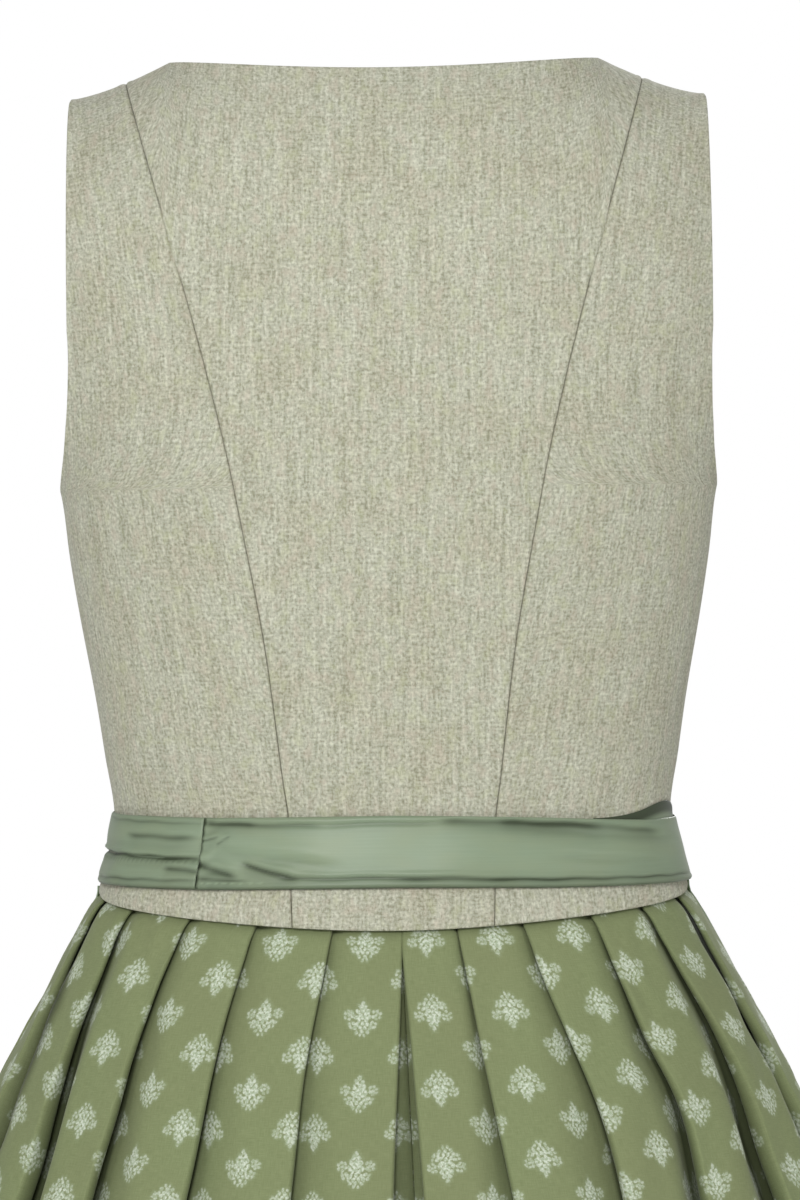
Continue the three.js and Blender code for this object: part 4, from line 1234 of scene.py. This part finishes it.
def make_apron():
    top = BAND_Z[0] - SEAM_GAP
    upper_rows, hem_rows = [0, 0.002, 0.005, 0.01], [0.99, 0.995, 0.998, 1.0]
    shares = np.unique(np.concatenate([upper_rows, np.linspace(0.016, 0.985, 76), hem_rows]))
    u = np.linspace(-1, 1, APRON_COLUMNS)
    flutes = APRON["flutes"]
    outer, inner = [], []
    for share in shares:
        z = top + (APRON_HEM_Z - top) * share
        reach = APRON["spread"] * skirt_ring(min(z, SKIRT_TOP_Z))["half"]
        sway = 0.045 * np.sin(3.1 * u * math.pi + 1.0) * smooth(share, 0.05, 0.6)
        main = 0.5 + 0.5 * np.cos((u + sway) * flutes * math.pi)
        main = main ** (1.0 + 0.5 * share)
        fine = 0.5 + 0.5 * np.cos(u * 46 * math.pi + 1.8 * np.sin(7 * u))
        fade = 1 - smooth(share, 0.0, 0.22)
        lift = APRON["clear"] + flute_depth(share) * (main * (1 - 0.75 * fade) + 0.75 * fade * fine)
        lift = lift + 1.8 * smooth(share, 0.45, 0.85)  # it stands off the skirt towards its hem
        lift = lift + 0.5 * waves(u * reach, np.full_like(u, z), 71, 60) * smooth(share, 0.02, 0.2)
        hem = -0.35 * bell((1 - share) * APRON["length"], 22, 1.6)
        outer.append(over_skirt(u * reach, z, lift + WALL["apron"] + hem))
        inner.append(over_skirt(u * reach, z, lift + hem))
    outside, inside = np.array(outer), np.array(inner)
    across = path_lengths(outside, 1)
    uv = np.stack([across - across[:, APRON_COLUMNS // 2][:, None], -path_lengths(outside, 0)], -1)
    satin_down = satin("apron_panel_satin", along_u=False)
    cloth("apron_panel", outside, inside, uv, [satin_down])


make_apron()

# %% [markdown]
# ## The bow
#
# Both ties end in one bow. A ribbon is a strip along a path: `ribbon` takes the path, the
# direction across and the width at each point, and raises small gathers where the strip is
# squeezed into the knot. Two loops, two tails and the short band that wraps the knot are all
# the same strip.

# %% Ribbons and the bow
def facing(normal, hint):
    """The normals, all turned over together if they face away from the hint."""
    agreement = np.einsum("ijk,ijk->ij", normal, np.broadcast_to(hint, normal.shape)).mean()
    return normal if agreement > 0 else -normal


def ribbon(name, path, across, width, normal_hint, relief):
    """path, across: (n, 3) in millimetres; width: (n,). relief(t, w) moves the strip along its normal."""
    w = np.unique(np.concatenate([np.linspace(-0.5, 0.5, 25), [-0.485, -0.46, 0.46, 0.485]]))
    points = path[:, None] + across[:, None] * (width[:, None] * w[None])[..., None]
    normal = facing(grid_normals(points), normal_hint[:, None])
    t = np.linspace(0, 1, len(path))[:, None]
    points = points + normal * relief(t, w[None])[..., None]
    normal = facing(grid_normals(points), normal)
    turned = np.clip(bell(w, -0.5, 0.015) + bell(w, 0.5, 0.015), 0, 1)[None, :, None]
    outside = points + normal * (WALL["ribbon"] / 2 - 0.15 * turned)
    inside = points - normal * (WALL["ribbon"] / 2 - 0.15 * turned)
    uv = np.stack([path_lengths(points, 0), path_lengths(points, 1)], -1)
    return cloth(name, outside, inside, uv, [SATIN])


def bow_frame():
    middle = (BAND_Z[0] + BAND_Z[1]) / 2
    angle = np.array(math.radians(BOW_DEG))
    point, out = torso_point(angle, middle), torso_normal(angle, middle)
    out = out * [1, 1, 0] / np.linalg.norm(out[:2])
    along = np.cross([0, 0, 1], out)
    return point + out * (LAYER_TIE + 1.3), along, out


def make_bow():
    origin, along, out = bow_frame()
    up = np.array([0.0, 0.0, 1.0])
    wide = BAND_Z[1] - BAND_Z[0]
    n = 70
    for side, word in ((1, "left"), (-1, "right")):
        t = np.linspace(0.03, 0.97, n) * 2 * math.pi
        reach = 37.0 * (1 - np.cos(t))
        depth = 8.2 * np.sin(t) * np.sin(t / 2) ** 0.9
        follow = math.radians(7)
        x = side * (11 + reach * math.cos(follow))
        z_out = 12 + depth - reach * math.sin(follow)
        lower = 3 - 6 * reach / 74
        path = origin + along * x[:, None] + out * z_out[:, None] + up * lower[:, None]
        across = np.broadcast_to(up, path.shape)
        pinch = 0.42 + 0.58 * smooth(reach, 0, 38)
        front_hint = np.where((t < math.pi)[:, None], out, -out)

        def relief(tt, ww, s=side):
            near = 1 - smooth(np.minimum(tt, 1 - tt), 0.02, 0.3)
            return 1.1 * near * np.sin(ww * 26 + 0.6 * s) + 0.5 * np.sin(ww * 9 + 4 * tt)

        ribbon(f"bow_loop_{word}", path, across, wide * pinch, front_hint, relief)
    turn = np.linspace(0.06, 0.94, 48) * 2 * math.pi - math.pi / 2
    ring_up, ring_out = 16.4 * np.sin(turn + math.pi), 6.4 + 6.2 * np.cos(turn + math.pi)
    path = origin + up * ring_up[:, None] + out * (ring_out + 0.6)[:, None]
    across = np.broadcast_to(along, path.shape)
    hint = up * ring_up[:, None] + out * (ring_out - 6.4)[:, None]
    ribbon(
        "bow_knot", path, across, 21 - 4 * np.cos(2 * turn), hint,
        lambda tt, ww: 0.7 * np.sin(ww * 19 + 1) + 0.4 * np.sin(ww * 7 + 9 * tt),
    )


make_bow()


def make_tail(word, length, lean, lift):
    wide = BAND_Z[1] - BAND_Z[0]
    start = float(torso_point(np.array(math.radians(BOW_DEG)), BAND_Z[0])[0])
    t = np.linspace(0, 1, 90)
    w = np.unique(np.concatenate([np.linspace(-0.5, 0.5, 25), [-0.485, 0.485]]))
    outer, inner = [], []
    top = BAND_Z[0] - 2 * SEAM_GAP
    for share in t:
        z = top - length * share
        width = wide * (0.55 + 0.45 * min(share * 3, 1))
        apron_share = (top - z) / (top - APRON_HEM_Z)
        fold = 2.2 * np.sin(w * 7 + 2.5 * share) * (1 - 0.5 * share)
        fold = fold + 0.9 * np.sin(w * 15) * (1 - smooth(share, 0, 0.35))
        curl = 2.0 * math.sin(share * 7 + lean * 9) * share
        on_apron = APRON["clear"] + WALL["apron"] + float(flute_depth(apron_share))
        lifted = on_apron + lift + 2.0 + fold + curl
        place = start + lean * share * length + w * width + 1.5 * math.sin(share * 9)
        points = [over_skirt(place, z, lifted + extra) for extra in (WALL["ribbon"], 0)]
        for grid in points:
            grid[:, 2] += w * math.copysign(14, lean) * share
        outer.append(points[0])
        inner.append(points[1])
    outside, inside = np.array(outer), np.array(inner)
    uv = np.stack([path_lengths(outside, 0), path_lengths(outside, 1)], -1)
    cloth(f"bow_tail_{word}", outside, inside, uv, [SATIN])


make_tail("left", 250, 0.16, 1.2)
make_tail("right", 225, -0.12, 4.6)

# %% [markdown]
# ## The buttons
#
# Six domed buttons with a raised rim. Each is shaped once in edit mode from a cylinder: its top
# is inset for the rim, sunk a little, and inset again to lift the dome. The same shape is then
# copied to the place of each button in the frame.

# %% Buttons
def make_button_form():
    bpy.ops.mesh.primitive_cylinder_add(vertices=40, radius=6.5 * MM, depth=1.6 * MM)
    form = bpy.context.object
    bpy.ops.object.mode_set(mode="EDIT")
    bpy.ops.mesh.select_all(action="DESELECT")
    bpy.ops.mesh.select_mode(type="FACE")
    bpy.ops.object.mode_set(mode="OBJECT")
    for face in form.data.polygons:
        face.select = face.normal.z > 0.9
    bpy.ops.object.mode_set(mode="EDIT")
    bpy.ops.mesh.inset(thickness=0.9 * MM, depth=0.35 * MM)
    bpy.ops.mesh.inset(thickness=0.35 * MM, depth=-0.5 * MM)
    for thickness, depth in ((1.2, 0.75), (1.3, 0.5), (1.2, 0.25), (0.9, 0.08)):
        bpy.ops.mesh.inset(thickness=thickness * MM, depth=depth * MM)
    bpy.ops.mesh.select_all(action="SELECT")
    bpy.ops.mesh.normals_make_consistent(inside=False)
    bpy.ops.object.mode_set(mode="OBJECT")
    bevel = form.modifiers.new("edge", "BEVEL")
    bevel.width, bevel.segments, bevel.angle_limit = 0.25 * MM, 2, math.radians(40)
    bpy.ops.object.modifier_apply(modifier=bevel.name)
    bpy.ops.object.shade_smooth_by_angle(angle=math.radians(50))
    form.select_set(False)
    return form


def make_buttons():
    form = make_button_form()
    names = sorted(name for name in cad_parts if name.startswith("button_"))
    for name in names:
        low, high = (np.array(corner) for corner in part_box(name))
        middle = (low + high) / 2
        out = torso_normal(np.array(math.pi), middle[2] / MM)
        turn = Vector((0, 0, 1)).rotation_difference(Vector(out)).to_matrix().to_4x4()
        piece = bpy.data.objects.new(name + "_metal", form.data.copy())
        bpy.context.scene.collection.objects.link(piece)
        place = middle - out * 0.6 * MM
        piece.data.transform(Matrix.Translation(Vector(place)) @ turn)
        piece.data.materials.clear()
        piece.data.materials.append(METAL)
        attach(piece, "root")
        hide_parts(name)
    bpy.data.objects.remove(form)
    print("buttons:", len(names))


make_buttons()

# %% [markdown]
# ## Floor, light and camera
#
# A pale floor well below the hem, since the shoulders hold the dress up, a white surround, one
# large soft light over the camera and two weaker ones at the sides. The camera looks at the back
# from chest height with a long lens, turned by half a degree.

# %% Stage
ROOM_LIGHT = 0.37


def add_stage():
    bpy.ops.mesh.primitive_plane_add(size=9, location=(0, -0.6, HEM_Z * MM - 0.25))
    floor = bpy.context.object
    floor.name = "studio_floor"
    g = Graph("pale_floor")
    colour = g.mix(g.noise(400, 400, 2.0), srgb(238, 238, 236), srgb(243, 243, 241))
    floor.data.materials.append(g.finish(colour, 0.8))
    world = bpy.data.worlds.new("studio")
    bpy.context.scene.world = world
    world.use_nodes = True
    tree = world.node_tree
    seen = tree.nodes["Background"]
    seen.inputs["Color"].default_value = (1, 1, 1, 1)
    lit = tree.nodes.new("ShaderNodeBackground")
    lit.inputs["Color"].default_value = (1, 1, 1, 1)
    lit.inputs["Strength"].default_value = ROOM_LIGHT
    rays, either = tree.nodes.new("ShaderNodeLightPath"), tree.nodes.new("ShaderNodeMixShader")
    tree.links.new(rays.outputs["Is Camera Ray"], either.inputs[0])
    tree.links.new(lit.outputs[0], either.inputs[1])
    tree.links.new(seen.outputs[0], either.inputs[2])
    tree.links.new(either.outputs[0], tree.nodes["World Output"].inputs["Surface"])


def add_light(name, place, size, watts, aim=(0, 0, -0.35)):
    data = bpy.data.lights.new(name, "AREA")
    data.shape, data.size, data.energy = "DISK", size, watts
    lamp = bpy.data.objects.new(name, data)
    bpy.context.scene.collection.objects.link(lamp)
    lamp.location = place
    lamp.rotation_euler = (Vector(aim) - Vector(place)).to_track_quat("-Z", "Y").to_euler()


def add_camera():
    data = bpy.data.cameras.new("camera")
    data.lens, data.sensor_width = 175.0, 36.0
    camera = bpy.data.objects.new("camera", data)
    bpy.context.scene.collection.objects.link(camera)
    camera.location = (-0.0048, 2.8, -0.258)
    look = Euler((math.radians(90), 0, math.radians(180))).to_matrix()
    camera.rotation_euler = (look @ Matrix.Rotation(math.radians(-0.65), 3, "Z")).to_euler()
    bpy.context.scene.camera = camera


add_stage()
add_light("key", (0.35, 2.7, 0.75), 0.9, 39)
add_light("side_left", (2.2, 1.4, 0.1), 0.9, 6)
add_light("side_right", (-2.2, 1.4, 0.1), 0.9, 6.5)
add_light("front", (-0.5, -2.8, 0.9), 1.4, 34)
add_camera()
bpy.context.scene.view_settings.view_transform = "Standard"
